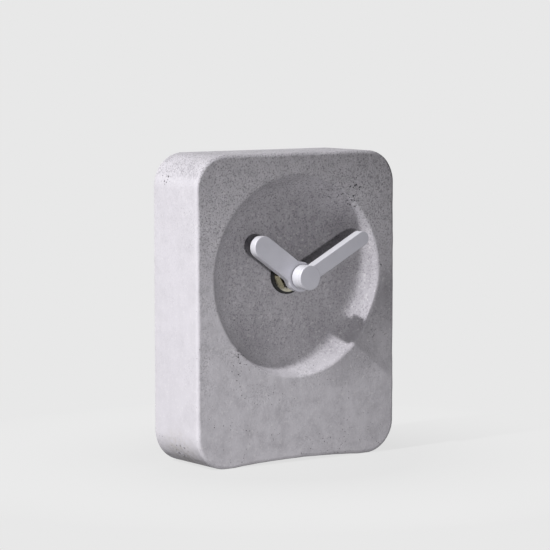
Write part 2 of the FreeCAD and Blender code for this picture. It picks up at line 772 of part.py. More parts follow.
def movement_cover():
    blank = rounded_block("cover_block", "cover_thickness", "cover_y")
    below = box("below_cover", "-half_side", "cover_y", "case_z",
                "2 * half_side", "cover_thickness", "partition_z - case_z")
    holes = [hole("cover_setting", "setting_bearing", "cover_y", "cover_thickness",
                  "setting_x", "setting_z"),
             hole("cover_centre", "centre_arbor_radius + running_gap", "cover_y",
                  "blind_bearing_depth")]
    drilled = cut("cover_drilled", blank, below, *holes,
                  *pivots("cover_", "cover_y", "blind_bearing_depth"))
    hooks = [box("cover_hook_" + side, x, "cover_y - cover_hook_length", "fifth_z",
                 "cover_hook_thickness", "cover_hook_length", "cover_hook_width")
             for side, x in (("left", "plate_gap - half_room"),
                             ("right", "half_room - plate_gap - cover_hook_thickness"))]
    finish(fuse("cover", drilled, *hooks), "movement_cover")


movement_case()
middle_plate()
movement_cover()


# Toothed wheels: involute teeth worked out by formula. A pinion's teeth stand tall and a
# wheel's teeth stay short, so that few-toothed pinions run freely.

PRESSURE_ANGLE = math.radians(20)
PINION_TIP_SHARE = 1.0
PINION_ROOT_SHARE = 0.8
WHEEL_TIP_SHARE = 0.5
WHEEL_ROOT_SHARE = 1.3


def involute(radius, base_radius):
    """The angle about the centre that an involute has covered at a radius."""
    if radius <= base_radius:
        return 0
    return math.sqrt((radius / base_radius) ** 2 - 1) - math.acos(base_radius / radius)


def toothed(teeth, module, phase, start, thickness, pinion=False):
    """A toothed disc about Y, from start to the back; the phase is where one tooth points."""
    pitch = teeth * module / 2
    base = pitch * math.cos(PRESSURE_ANGLE)
    tip = pitch + module * (PINION_TIP_SHARE if pinion else WHEEL_TIP_SHARE)
    root = pitch - module * (PINION_ROOT_SHARE if pinion else WHEEL_ROOT_SHARE)
    foot = max(root, base)
    half_pitch = math.pi / (2 * teeth) - value("backlash") / (2 * pitch) + involute(pitch, base)
    flank = [(radius, half_pitch - involute(radius, base)) for radius in (foot, pitch, tip)]
    if root < foot:
        flank.insert(0, (root, half_pitch))
    points = []
    for tooth in range(teeth):
        middle = phase + 2 * math.pi * tooth / teeth
        for radius, half in flank:
            points.append((radius, middle - half))
        for radius, half in reversed(flank):
            points.append((radius, middle + half))
    corners = [FreeCAD.Vector(r * math.cos(a), start, r * math.sin(a)) for r, a in points]
    face = Part.Face(Part.makePolygon(corners + corners[:1]))
    return face.extrude(Y_AXIS * thickness)


def mesh_phase(angle, teeth, phase, other_teeth):
    """Where a tooth of the other wheel points, for the wheels to mesh; angle is the way to it."""
    turn = (angle - phase) * teeth / other_teeth
    return angle + math.pi + turn + math.pi / other_teeth


def module_of(distance, teeth, other_teeth):
    return 2 * value(distance) / (value(teeth) + value(other_teeth))


def count(name):
    return round(value(name))


def angle_of(name, turn=0):
    return math.radians(value(name) + turn)


def rod(radius, start, end):
    return Part.makeCylinder(radius, end - start, FreeCAD.Vector(0, start, 0), Y_AXIS)


def turning(label, shape, wheel=None):
    """A wheel modelled about the Y axis, then set on its own axis in the movement."""
    piece = doc.addObject("Part::Feature", label)
    piece.Shape = shape
    bind(piece, Placement__Base__x=wheel + "_x" if wheel else "0",
         Placement__Base__z=wheel + "_z" if wheel else "hub_height")
    finish(piece, label)


def going_train():
    """The wheels from the rotor's pinion to the wheel that drives the minute tube."""
    thickness = value("wheel_thickness")
    arbor = rod(value("arbor_radius"), value("pivot_front_y"), value("pivot_back_y"))

    module = module_of("rotor_distance", "rotor_pinion_teeth", "fifth_wheel_teeth")
    leaves = count("rotor_pinion_teeth")
    teeth = count("fifth_wheel_teeth")
    pinion = toothed(leaves, module, 0, value("fifth_y"), thickness, True)
    turning("rotor_pinion", pinion.fuse(arbor), "rotor")
    phase = mesh_phase(angle_of("rotor_angle", 180), leaves, 0, teeth)
    fifth = toothed(teeth, module, phase, value("fifth_y"), thickness)

    module = module_of("fifth_distance", "fifth_pinion_teeth", "second_wheel_teeth")
    leaves = count("fifth_pinion_teeth")
    teeth = count("second_wheel_teeth")
    pinion = toothed(leaves, module, 0, value("second_y"), thickness, True)
    turning("fifth_wheel", fifth.fuse([pinion, arbor]), "fifth")
    phase = mesh_phase(angle_of("fifth_angle", 180), leaves, 0, teeth)
    second = toothed(teeth, module, phase, value("second_y"), thickness)

    module = module_of("third_distance", "second_pinion_teeth", "third_wheel_teeth")
    leaves = count("second_pinion_teeth")
    teeth = count("third_wheel_teeth")
    pinion = toothed(leaves, module, 0, value("third_y"), thickness, True)
    centre = rod(value("centre_arbor_radius"), value("minute_hand_y"), value("pivot_back_y"))
    turning("second_wheel", second.fuse([pinion, centre]))
    phase = mesh_phase(angle_of("third_angle"), leaves, 0, teeth)
    third = toothed(teeth, module, phase, value("third_y"), thickness)

    module = module_of("third_distance", "third_pinion_teeth", "minute_wheel_teeth")
    leaves = count("third_pinion_teeth")
    teeth = count("minute_wheel_teeth")
    pinion = toothed(leaves, module, 0, value("minute_wheel_y"), thickness, True)
    turning("third_wheel", third.fuse([pinion, arbor]), "third")
    phase = mesh_phase(angle_of("third_angle", 180), leaves, 0, teeth)
    drive = toothed(teeth, module, phase, value("minute_wheel_y"), thickness)
    journal = rod(value("journal_bearing"), value("minute_wheel_y"), value("third_y"))
    turning("minute_drive_wheel", drive.cut(journal))


def motion_works():
    """The minute tube's pinion, the wheel beside it, the hour wheel and the setting pinion."""
    thickness = value("motion_thickness")
    module = module_of("reduction_distance", "cannon_teeth", "reduction_wheel_teeth")
    leaves = count("cannon_teeth")
    teeth = count("reduction_wheel_teeth")
    motion = value("motion_y")

    cannon = toothed(leaves, module, 0, motion, thickness, True)
    tubes = [rod(value("cannon_thread_radius"), value("cap_y") + value("cap_skin") + value("seat_gap"),
                 value("minute_hand_y")),
             rod(value("cannon_radius"), value("minute_hand_y"), motion),
             rod(value("cannon_journal_radius"), motion, value("third_y") - value("plane_gap"))]
    bore = rod(value("centre_arbor_radius") + value("running_gap"), value("cap_y"), value("third_y"))
    turning("cannon_pinion", cannon.fuse(tubes).cut(bore))

    phase = mesh_phase(angle_of("reduction_angle"), leaves, 0, teeth)
    reduction = toothed(teeth, module, phase, motion, thickness)
    setting_leaves = count("setting_teeth")
    setting_phase = mesh_phase(angle_of("setting_angle"), teeth, phase, setting_leaves)
    setting = toothed(setting_leaves, module, setting_phase, motion, thickness, True)

    module = module_of("reduction_distance", "reduction_pinion_teeth", "hour_wheel_teeth")
    leaves = count("reduction_pinion_teeth")
    teeth = count("hour_wheel_teeth")
    hour_plane = value("hour_wheel_y")
    pinion = toothed(leaves, module, 0, hour_plane, thickness, True)
    front = value("blind_y") + value("end_shake")
    arbor = rod(value("arbor_radius"), front, value("plate_back_y") - value("end_shake"))
    turning("reduction_wheel", reduction.fuse([pinion, arbor]), "reduction")

    phase = mesh_phase(angle_of("reduction_angle", 180), leaves, 0, teeth)
    hour = toothed(teeth, module, phase, hour_plane, thickness)
    tube_front = value("hour_hand_y") + value("end_shake")
    hour_tube = rod(value("hour_tube_radius"), tube_front, hour_plane + thickness)
    hour_bore = rod(value("cannon_radius") + value("running_gap"), tube_front, motion)
    turning("hour_wheel", hour.fuse(hour_tube).cut(hour_bore))

    knob_front = value("cover_back_y") + value("knob_gap")
    knob_back = knob_front + value("knob_thickness")
    shaft = rod(value("setting_shaft_radius"), front, knob_back)
    disc = rod(value("knob_radius"), knob_front, knob_back)
    grips = []
    for index in range(count("knob_grips")):
        angle = 2 * math.pi * index / count("knob_grips")
        grip = rod(value("knob_grip_radius"), knob_front, knob_back)
        rim = value("knob_radius")
        grip.translate(FreeCAD.Vector(rim * math.cos(angle), 0, rim * math.sin(angle)))
        grips.append(grip)
    turning("setting_knob", setting.fuse([shaft, disc.cut(grips)]), "setting")


going_train()
motion_works()


# Stepping motor: a magnet on the rotor's arbor turns between the poles of a flat stator,
# and a coil on the core behind it drives it

def motor():
    magnet = tube("magnet_ring", "magnet_radius", "arbor_radius + seat_gap", "magnet_thickness",
                  "rotor_x", "rotor_y", "rotor_z")
    finish(magnet, "rotor_magnet")

    pole = "(magnet_radius + stator_gap + stator_pole_margin)"
    bar = box("stator_bar", "-stator_half_span", "stator_y", "rotor_z - " + pole,
              "2 * stator_half_span", "stator_thickness", "2 * " + pole)
    top = "(coil_z + core_height / 2 + stator_end_margin)"
    arms = [box("stator_arm_" + side, x, "stator_y", "rotor_z - " + pole,
                "stator_arm_width", "stator_thickness", top + " - rotor_z + " + pole)
            for side, x in (("left", "-stator_half_span"),
                            ("right", "stator_half_span - stator_arm_width"))]
    gap = cylinder("stator_hole", "magnet_radius + stator_gap", "stator_thickness",
                   "rotor_x", "stator_y", "rotor_z")
    finish(cut("stator_sheet", fuse("stator_blank", bar, *arms), gap), "stator")

    core = box("core_bar", "-stator_half_span", "core_y", "coil_z - core_height / 2",
               "2 * stator_half_span", "stator_thickness", "core_height")
    finish(core, "coil_core")

    barrel = cylinder("bobbin_barrel", "bobbin_barrel_radius", "bobbin_length",
                      "-bobbin_length / 2", "core_mid_y", "coil_z", "x")
    flanges = [cylinder("bobbin_flange_" + side, "bobbin_flange_radius", "bobbin_flange_thickness",
                        x, "core_mid_y", "coil_z", "x")
               for side, x in (("left", "-bobbin_length / 2"),
                               ("right", "bobbin_length / 2 - bobbin_flange_thickness"))]
    slot = box("bobbin_slot", "-bobbin_length / 2", "core_y - seat_gap",
               "coil_z - core_height / 2 - seat_gap", "bobbin_length",
               "stator_thickness + 2 * seat_gap", "core_height + 2 * seat_gap")
    finish(cut("bobbin", fuse("bobbin_blank", barrel, *flanges), slot), "coil_bobbin")

    winding = tube("winding", "winding_radius", "bobbin_barrel_radius + seat_gap",
                   "bobbin_length - 2 * bobbin_flange_thickness",
                   "bobbin_flange_thickness - bobbin_length / 2", "core_mid_y", "coil_z", "x")
    finish(winding, "coil_winding")


motor()


# Circuit board on the middle plate, with the moulded blob over its chip and the crystal

def circuit():
    board = box("board", "board_left", "plate_back_y", "board_z",
                "board_width", "board_thickness", "board_height")
    finish(board, "circuit_board")

    chip = doc.addObject("Part::Cone", "chip")
    chip.Placement = FreeCAD.Placement(FreeCAD.Vector(), FreeCAD.Rotation(X_AXIS, -90))
    bind(chip, Radius1="chip_radius", Radius2="chip_top_radius", Height="chip_height",
         Placement__Base__x="board_left + board_width / 2", Placement__Base__y="board_back_y",
         Placement__Base__z="board_z + board_height / 2")
    finish(chip, "chip_cover")

    crystal = doc.addObject("Part::Cylinder", "crystal")
    bind(crystal, Radius="crystal_radius", Height="crystal_length",
         Placement__Base__x="board_left + board_width / 2",
         Placement__Base__y="board_back_y + contact_gap + crystal_radius",
         Placement__Base__z="board_z + board_height / 2 - crystal_drop - crystal_length")
    finish(crystal, "quartz_crystal")


circuit()


# Cell, and the sheet-metal strips that lead from its ends to the board

def cell():
    body = doc.addObject("PartDesign::Body", "cell")
    bind(body, Placement__Base__x="cell_x", Placement__Base__y="cell_y", Placement__Base__z="cell_z")
    can = sketch_on(body, "can_outline", "YZ_Plane")
    circle(can, "cell_radius")
    grown = body.newObject("PartDesign::Pad", "can")
    grown.Profile = can
    bind(grown, Length="cell_length")
    knob = sketch_on(body, "nub_outline", "YZ_Plane", z="cell_length")
    circle(knob, "nub_radius")
    grown = body.newObject("PartDesign::Pad", "nub")
    grown.Profile = knob
    bind(grown, Length="nub_length")
    rim = value("cell_radius")
    round_edges(body, "can_ends", "cell_edge_round", lambda edge: is_circle(edge, rim))
    finish(body, "battery")


def contacts():
    front = "cell_y - contact_half_height"
    sheet = "contact_thickness"
    plate = box("positive_plate", "contact_x", front, "cell_z - contact_width / 2",
                sheet, "2 * contact_half_height", "contact_width")
    tail = box("positive_tail", "contact_x", "foot_y", "cell_z",
               sheet, "tail_width", "board_z + 2 * tail_width - cell_z")
    foot_x = "(board_left + board_width - foot_reach)"
    foot = box("positive_foot", foot_x, "foot_y", "board_z + tail_width",
               "contact_x + contact_thickness - " + foot_x, sheet, "tail_width")
    finish(fuse("positive", plate, tail, foot), "positive_contact")

    left = "-contact_x - contact_thickness"
    plate = box("negative_plate", left, front, "cell_z - contact_width / 2",
                sheet, "2 * contact_half_height", "contact_width")
    tail = box("negative_tail", left, "foot_y", "cell_z",
               sheet, "tail_width", "train_z + contact_gap + contact_thickness - cell_z")
    run = box("negative_run", left, "foot_y", "train_z + contact_gap",
              "contact_x + contact_thickness + board_left + foot_reach", "tail_width", sheet)
    foot = box("negative_foot", "board_left", "foot_y", "train_z + contact_gap",
               "foot_reach", sheet, "board_z + tail_width - train_z - contact_gap")
    leaf = doc.addObject("Part::Feature", "negative_leaf")
    root_x = -value("contact_x")
    tip_x = value("cell_x") - value("contact_gap")
    middle = value("cell_y")
    bend = [(root_x, middle - value("contact_half_height")), (tip_x, middle),
            ((root_x + tip_x) / 2, middle + value("leaf_half_height"))]
    bend += [(x - value(sheet), y) for x, y in reversed(bend)]
    start = value("cell_z") - value("contact_width") / 4
    corners = [FreeCAD.Vector(x, y, start) for x, y in bend]
    outline = Part.Face(Part.makePolygon(corners + corners[:1]))
    leaf.Shape = outline.extrude(FreeCAD.Vector(0, 0, value("contact_width") / 2))
    finish(fuse("negative", plate, tail, run, foot, leaf), "negative_contact")


cell()
contacts()


# Check every object, then write one file for each sub-part

doc.recompute()
for thing in doc.Objects:
    if "Invalid" in thing.State or "Error" in thing.State:
        raise RuntimeError("%s did not recompute: %s" % (thing.Name, thing.State))
for piece in nodes:
    if piece.Shape.isNull() or not piece.Shape.isValid() or not piece.Shape.Solids:
        raise RuntimeError("%s has no valid solid" % piece.Label)
for piece in nodes:
    piece.Shape.exportStep("parts/%s.step" % piece.Label)
    print("%-20s %d solid, %10.3f mm3" % (piece.Label, len(piece.Shape.Solids), piece.Shape.Volume))
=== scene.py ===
import math

import bpy
import numpy as np
from mathutils import Matrix, Vector


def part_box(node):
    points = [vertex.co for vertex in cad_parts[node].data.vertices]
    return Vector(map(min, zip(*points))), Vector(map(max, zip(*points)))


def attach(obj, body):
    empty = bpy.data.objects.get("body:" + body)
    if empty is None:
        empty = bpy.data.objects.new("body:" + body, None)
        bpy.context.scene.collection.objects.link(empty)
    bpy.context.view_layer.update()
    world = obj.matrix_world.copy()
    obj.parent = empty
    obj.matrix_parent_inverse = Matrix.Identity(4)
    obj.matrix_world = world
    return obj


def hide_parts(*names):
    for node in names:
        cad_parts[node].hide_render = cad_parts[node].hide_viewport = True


# A pendulette clock: a cast concrete block with a dished dial and two thick hands, and a
# quartz movement with its cell in the pocket behind. Metres, in the frame of the solids.

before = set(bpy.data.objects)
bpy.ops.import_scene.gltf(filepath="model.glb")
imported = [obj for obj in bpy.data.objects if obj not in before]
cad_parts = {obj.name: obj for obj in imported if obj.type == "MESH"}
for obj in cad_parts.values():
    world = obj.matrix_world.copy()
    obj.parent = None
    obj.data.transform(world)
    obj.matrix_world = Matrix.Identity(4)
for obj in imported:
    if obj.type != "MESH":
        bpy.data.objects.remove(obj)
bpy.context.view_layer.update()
MM = 0.001


# Concrete block
# Poured in one piece into a smooth mould with a round plug for the dish, then tapped out.
# The mould face is dense and grey, with small open pores where air bubbles lay against it,
# and the edges are soft where the grout drew back from the corners.

block_low, block_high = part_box("concrete_body")
washer_low, washer_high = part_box("rubber_washer")
HUB = np.array([0, (washer_low.z + washer_high.z) / 2])
FACE_Y = block_low.y
BACK_Y = block_high.y
FLOOR_Y = washer_high.y
CORNER_RADIUS = 14 * MM
ARCH_HALF_SPAN = 32 * MM
ARCH_RISE = 1.2 * MM
BOWL_RADIUS = 42 * MM
BOWL_FLOOR_RADIUS = 29 * MM
BOWL_RIM_ROUND = 1.5 * MM
WEB = 4.8 * MM
POCKET_HALF_SIDE = 30 * MM
POCKET_CORNER_RADIUS = 4 * MM
POCKET_LIP = 0.4 * MM
BUSH_HOLE_RADIUS = 4.25 * MM
FRONT_EDGE_RADIUS = 1.6 * MM
BACK_EDGE_RADIUS = 0.8 * MM
EDGE_WEAR_SHARE = 0.25
SIDE_START = 2.6 * MM
BLOCK_SPACING = 0.8 * MM
SWELL = 0.1 * MM
SWELL_FADE = 6 * MM
BUSH_SEAT_RADIUS = 9 * MM
# A flat ring this wide beside each round edge keeps the edge's shading off the flat faces
SUPPORT = 0.06 * MM
SHARP_FROM = math.radians(38)


def straight(start, end, out, spacing):
    """The start plus even shares of the way to the end, without the end itself, and one outward
    direction for all of them."""
    start, end = np.array(start, float), np.array(end, float)
    count = max(2, round(np.linalg.norm(end - start) / spacing))
    along = np.arange(count)[:, None] / count
    return start + along * (end - start), np.tile(np.array(out, float), (count, 1))


def arc(centre, radius, start, end, spacing, hollow=False):
    """The centre plus the radius times the cosine and sine of even angles from start to end,
    without the end itself. The points face away from the centre, or, if hollow, towards it."""
    count = max(4, round(abs(math.radians(end - start)) * radius / spacing))
    angle = np.radians(start + (end - start) * np.arange(count) / count)
    way = np.stack([np.cos(angle), np.sin(angle)], 1)
    return np.array(centre, float) + radius * way, -way if hollow else way


def joined(*pieces):
    """One closed outline from pieces that follow each other: its points and outward directions."""
    points, out = zip(*pieces)
    return np.concatenate(points), np.concatenate(out)


def rings(flat, depth):
    """Outlines (station, around, two) set at one depth per station along Y."""
    deep = np.broadcast_to(np.asarray(depth, float)[:, None], flat.shape[:2])
    return np.stack([flat[..., 0], deep, flat[..., 1]], -1)


def between(inner, outer, shares):
    """Outlines that pass from the inner to the outer one by the given shares of the way."""
    shares = np.asarray(shares, float)[:, None, None]
    return inner + (outer - inner) * shares


def closed_mesh(name, stations, poles=False):
    """A piece from rings of points: each ring joins the next by four-sided faces. The last ring
    joins the first, or, with poles, a point in the middle of the first and last ring closes it."""
    count, around = stations.shape[:2]
    points = stations.reshape(-1, 3)
    row = np.arange(count - 1 if poles else count)[:, None]
    column = np.arange(around)[None, :]
    ahead = (row + 1) % count
    aside = (column + 1) % around
    faces = np.stack([row * around + column, row * around + aside,
                      ahead * around + aside, ahead * around + column], -1).reshape(-1, 4)

    # Six times the volume, by each face's two halves: below zero if the faces look inwards
    corners = points[faces]
    volume = np.einsum("ij,ij->", corners[:, 0], np.cross(corners[:, 1], corners[:, 2]))
    volume += np.einsum("ij,ij->", corners[:, 0], np.cross(corners[:, 2], corners[:, 3]))
    order = -1 if volume < 0 else 1
    faces = faces[:, ::order].tolist()
    if poles:
        first, last = len(points), len(points) + 1
        points = np.concatenate([points, [stations[0].mean(0), stations[-1].mean(0)]])
        edge = np.arange(around)
        after = (edge + 1) % around
        end = (count - 1) * around
        faces += np.stack([np.full(around, first), after, edge], 1)[:, ::order].tolist()
        faces += np.stack([np.full(around, last), end + edge, end + after], 1)[:, ::order].tolist()
    mesh = bpy.data.meshes.new(name)
    mesh.from_pydata(points.tolist(), [], faces)
    mesh.polygons.foreach_set("use_smooth", [True] * len(mesh.polygons))
    mesh.set_sharp_from_angle(angle=SHARP_FROM)
    piece = bpy.data.objects.new(name, mesh)
    bpy.context.scene.collection.objects.link(piece)
    return piece


def waves(points, longest, shortest, seed):
    """A smooth uneven field from -1 to 1: the mean of sines that run in random directions with
    random phases, and wavelengths between the two given, scaled to its own largest value."""
    count = 24
    chance = np.random.default_rng(seed)
    way = chance.normal(size=(count, 3))
    way /= np.linalg.norm(way, axis=1)[:, None]
    length = shortest * (longest / shortest) ** chance.random(count)
    phase = chance.random(count) * 2 * math.pi
    field = np.sin(points @ (way * 2 * math.pi / length[:, None]).T + phase).mean(-1)
    return field / np.abs(field).max()


def block_outline(spacing):
    """The block's front view, anticlockwise: arched base, feet, round corners, sides and top."""
    half = block_high.x
    top = block_high.z
    inner = half - CORNER_RADIUS
    arch_radius = (ARCH_HALF_SPAN ** 2 + ARCH_RISE ** 2) / (2 * ARCH_RISE)
    lean = math.degrees(math.asin(ARCH_HALF_SPAN / arch_radius))
    arch = arc((0, ARCH_RISE - arch_radius), arch_radius, 90 + lean, 90 - lean, spacing,
               hollow=True)
    corner = [arc((x, z), CORNER_RADIUS, turn, turn + 90, spacing)
              for x, z, turn in ((inner, CORNER_RADIUS, -90), (inner, top - CORNER_RADIUS, 0),
                                 (-inner, top - CORNER_RADIUS, 90), (-inner, CORNER_RADIUS, 180))]
    return joined(
        arch,
        straight((ARCH_HALF_SPAN, 0), (inner, 0), (0, -1), spacing), corner[0],
        straight((half, CORNER_RADIUS), (half, top - CORNER_RADIUS), (1, 0), spacing), corner[1],
        straight((inner, top), (-inner, top), (0, 1), spacing), corner[2],
        straight((-half, top - CORNER_RADIUS), (-half, CORNER_RADIUS), (-1, 0), spacing), corner[3],
        straight((-inner, 0), (-ARCH_HALF_SPAN, 0), (0, -1), spacing))


def round_square(direction, half, radius):
    """Where rays from the hub meet a square with round corners: the flat side's distance, or, in
    a corner, the far root of the circle's equation."""
    side = half / np.abs(direction).max(1)
    reach = half - radius
    along = reach * np.abs(direction).sum(1)
    corner = along + np.sqrt(np.maximum(along ** 2 - (2 * reach ** 2 - radius ** 2), 0))
    hit = np.abs(direction * side[:, None]).min(1)
    return HUB + direction * np.where(hit > reach, corner, side)[:, None]


def concrete_block():
    """One closed grid round the hub: out over the dish's floor, up its wall, over the rim and the
    face, back along the sides, in over the back, and forward through the pocket and the hole."""
    outline, out = block_outline(BLOCK_SPACING)
    direction = outline - HUB
    direction /= np.linalg.norm(direction, axis=1)[:, None]
    depth = FLOOR_Y - FACE_Y

    def circles(radii):
        """Rings round the hub, one for each radius, with their points on the same rays."""
        return HUB + direction * np.atleast_1d(radii)[:, None, None]

    # The dish's wall is an arc that leaves the floor level and would meet the face at the dish's
    # full radius. Its centre lies ahead of the face. The rim's round touches the arc and the face.
    reach = BOWL_RADIUS - BOWL_FLOOR_RADIUS
    sweep = (reach ** 2 + depth ** 2) / (2 * depth)
    ahead = sweep - depth
    rim_reach = math.sqrt((sweep + BOWL_RIM_ROUND) ** 2 - (ahead + BOWL_RIM_ROUND) ** 2)
    rim_radius = BOWL_FLOOR_RADIUS + rim_reach
    climb = math.atan2(rim_radius - BOWL_FLOOR_RADIUS, ahead + BOWL_RIM_ROUND)

    # Each count is a number of rings, about a millimetre apart where the clock shows most
    floor = circles(np.linspace(BUSH_HOLE_RADIUS, BOWL_FLOOR_RADIUS, 26))
    wall_turn = np.linspace(0, climb, 25)[1:]
    wall = circles(BOWL_FLOOR_RADIUS + sweep * np.sin(wall_turn))
    rim_turn = np.linspace(climb, 0, 8)[1:]
    rim = circles(rim_radius - BOWL_RIM_ROUND * np.sin(rim_turn))

    wear = waves(rings(outline[None], [FACE_Y])[0], 40 * MM, 5 * MM, seed=3)
    edge = (FRONT_EDGE_RADIUS * (1 + EDGE_WEAR_SHARE * wear))[:, None]
    edge_turn = np.linspace(0, math.pi / 2, 8)
    closer_outwards = np.linspace(0, 1, 33)[1:-1] ** 0.8
    face = between(circles(rim_radius)[0], outline - out * edge, closer_outwards)
    lip = outline - out * (edge + SUPPORT)
    front_edge = outline - out * edge * (1 - np.sin(edge_turn))[:, None, None]
    side_y = np.linspace(FACE_Y + SIDE_START, BACK_Y - BACK_EDGE_RADIUS - SUPPORT, 28)
    back_turn = np.linspace(0, math.pi / 2, 5)
    back_edge = outline - out * BACK_EDGE_RADIUS * (1 - np.cos(back_turn))[:, None, None]

    mouth = round_square(direction, POCKET_HALF_SIDE + POCKET_LIP,
                         POCKET_CORNER_RADIUS + POCKET_LIP)
    bay = round_square(direction, POCKET_HALF_SIDE, POCKET_CORNER_RADIUS)
    back = between(back_edge[-1], mouth, np.linspace(0, 1, 12)[1:])
    lip_turn = np.linspace(0, math.pi / 2, 4)[1:]
    bay_y = np.linspace(BACK_Y - POCKET_LIP, FLOOR_Y + WEB, 9)[1:]
    bay_floor = between(bay, circles(BUSH_HOLE_RADIUS)[0], np.linspace(0, 1, 9)[1:])
    hole_y = np.linspace(FLOOR_Y + WEB, FLOOR_Y, 5)[1:-1]

    grid = np.concatenate([
        rings(floor, np.full(len(floor), FLOOR_Y)),
        rings(wall, FACE_Y - ahead + sweep * np.cos(wall_turn)),
        rings(rim, FACE_Y + BOWL_RIM_ROUND * (1 - np.cos(rim_turn))),
        rings(np.concatenate([face, lip[None]]), np.full(len(face) + 1, FACE_Y)),
        np.concatenate([front_edge[..., :1],
                        FACE_Y + np.broadcast_to(edge * (1 - np.cos(edge_turn))[:, None, None],
                                                 front_edge[..., :1].shape),
                        front_edge[..., 1:]], -1),
        rings(np.repeat(outline[None], len(side_y), 0), side_y),
        rings(back_edge, BACK_Y - BACK_EDGE_RADIUS * (1 - np.sin(back_turn))),
        rings(back, np.full(len(back), BACK_Y)),
        rings(between(mouth, bay, np.sin(lip_turn)), BACK_Y - POCKET_LIP * (1 - np.cos(lip_turn))),
        rings(np.repeat(bay[None], len(bay_y), 0), bay_y),
        rings(bay_floor, np.full(len(bay_floor), FLOOR_Y + WEB)),
        rings(np.repeat(circles(BUSH_HOLE_RADIUS), len(hole_y), 0), hole_y),
    ])
    return closed_mesh("concrete_block", uneven(grid))


def uneven(grid):
    """Draws the surface in by a share of the swell's full depth, as a cast face is: a half, plus
    slow waves, plus weaker, shorter ones. The share fades to nothing towards the feet, the bush
    and the movement's pocket, which stay true."""
    along = np.roll(grid, -1, 0) - np.roll(grid, 1, 0)
    around = np.roll(grid, -1, 1) - np.roll(grid, 1, 1)
    out = np.cross(along, around)
    out /= np.maximum(np.linalg.norm(out, axis=-1), 1e-12)[..., None]
    if out[0, :, 1].mean() > 0:
        out = -out
    flat = grid[..., [0, 2]] - HUB
    beside_pocket = np.abs(flat).max(-1) > POCKET_HALF_SIDE + 2 * MM
    swell = (0.5 + 0.35 * waves(grid, 45 * MM, 16 * MM, seed=11)
             + 0.15 * waves(grid, 12 * MM, 5 * MM, seed=12))
    swell *= np.clip(grid[..., 2] / SWELL_FADE, 0, 1)
    swell *= np.clip((np.linalg.norm(flat, axis=-1) - BUSH_SEAT_RADIUS) / SWELL_FADE, 0, 1)
    swell *= np.clip((FLOOR_Y + WEB / 2 - grid[..., 1]) / WEB, 0, 1) + beside_pocket
    return grid - out * (SWELL * np.clip(swell, 0, 1))[..., None]


def linear(colour):
    """An sRGB hex colour as the linear red, green, blue and alpha that shaders work in."""
    part = np.array([int(colour[i:i + 2], 16) for i in (1, 3, 5)]) / 255
    part = np.where(part <= 0.04045, part / 12.92, ((part + 0.055) / 1.055) ** 2.4)
    return (*part.tolist(), 1)


def new_material(name):
    """An empty material with its shader, and the object's own coordinates in metres."""
    material = bpy.data.materials.new(name)
    material.use_nodes = True
    tree = material.node_tree
    return material, tree, tree.nodes["Principled BSDF"], add(tree, "TexCoord").outputs["Object"]


def add(tree, kind, inputs=(), **settings):
    """Adds a shader node with its settings and inputs. A Mix of colours takes its share at input
    0 and its colours at 6 and 7, and gives the mixed colour at output 2."""
    node = tree.nodes.new("ShaderNode" + kind)
    for key, setting in settings.items():
        setattr(node, key, setting)
    feed(tree, node, dict(inputs))
    return node


def feed(tree, node, inputs):
    """Gives each input of a node, by name or number, its value or the socket that feeds it."""
    for key, given in inputs.items():
        if isinstance(given, bpy.types.NodeSocket):
            tree.links.new(given, node.inputs[key])
        else:
            node.inputs[key].default_value = given


def dress(piece, material):
    """Gives a piece one material all over."""
    piece.data.materials.clear()
    piece.data.materials.append(material)


# Where the pores crowd together, where the mould's release oil left a brownish stain, and where
# shade is painted on as darker concrete, the hub's shadow on the lit dish wall among it: each
# patch's centre, and how far it reaches
PORE_PATCHES = (
    ((27 * MM, FACE_Y, 112 * MM), 13 * MM),
    ((18 * MM, FACE_Y + 2 * MM, 111 * MM), 8 * MM),
    ((-29 * MM, FACE_Y, 46 * MM), 8 * MM),
    ((-50.7 * MM, -4 * MM, 126 * MM), 6 * MM),
    ((-50.7 * MM, 11 * MM, 121 * MM), 7 * MM),
    ((-49 * MM, 4 * MM, 5 * MM), 10 * MM),
)
STAINS = (
    ((-47 * MM, 4 * MM, 4 * MM), 15 * MM),
    ((30 * MM, BACK_Y, 8 * MM), 16 * MM),
)
PAINTED_SHADE_PATCHES = (
    ((41 * MM, FACE_Y + 3 * MM, 72 * MM), 25 * MM),
    ((34 * MM, FACE_Y + 4 * MM, 57 * MM), 12 * MM),
    ((24 * MM, FACE_Y + 4 * MM, 47 * MM), 21 * MM),
    ((8 * MM, FLOOR_Y, 91 * MM), 20 * MM),
    ((27 * MM, FLOOR_Y - 3 * MM, 98 * MM), 13 * MM),
    ((-20 * MM, FLOOR_Y - 1 * MM, 52 * MM), 13 * MM),
)


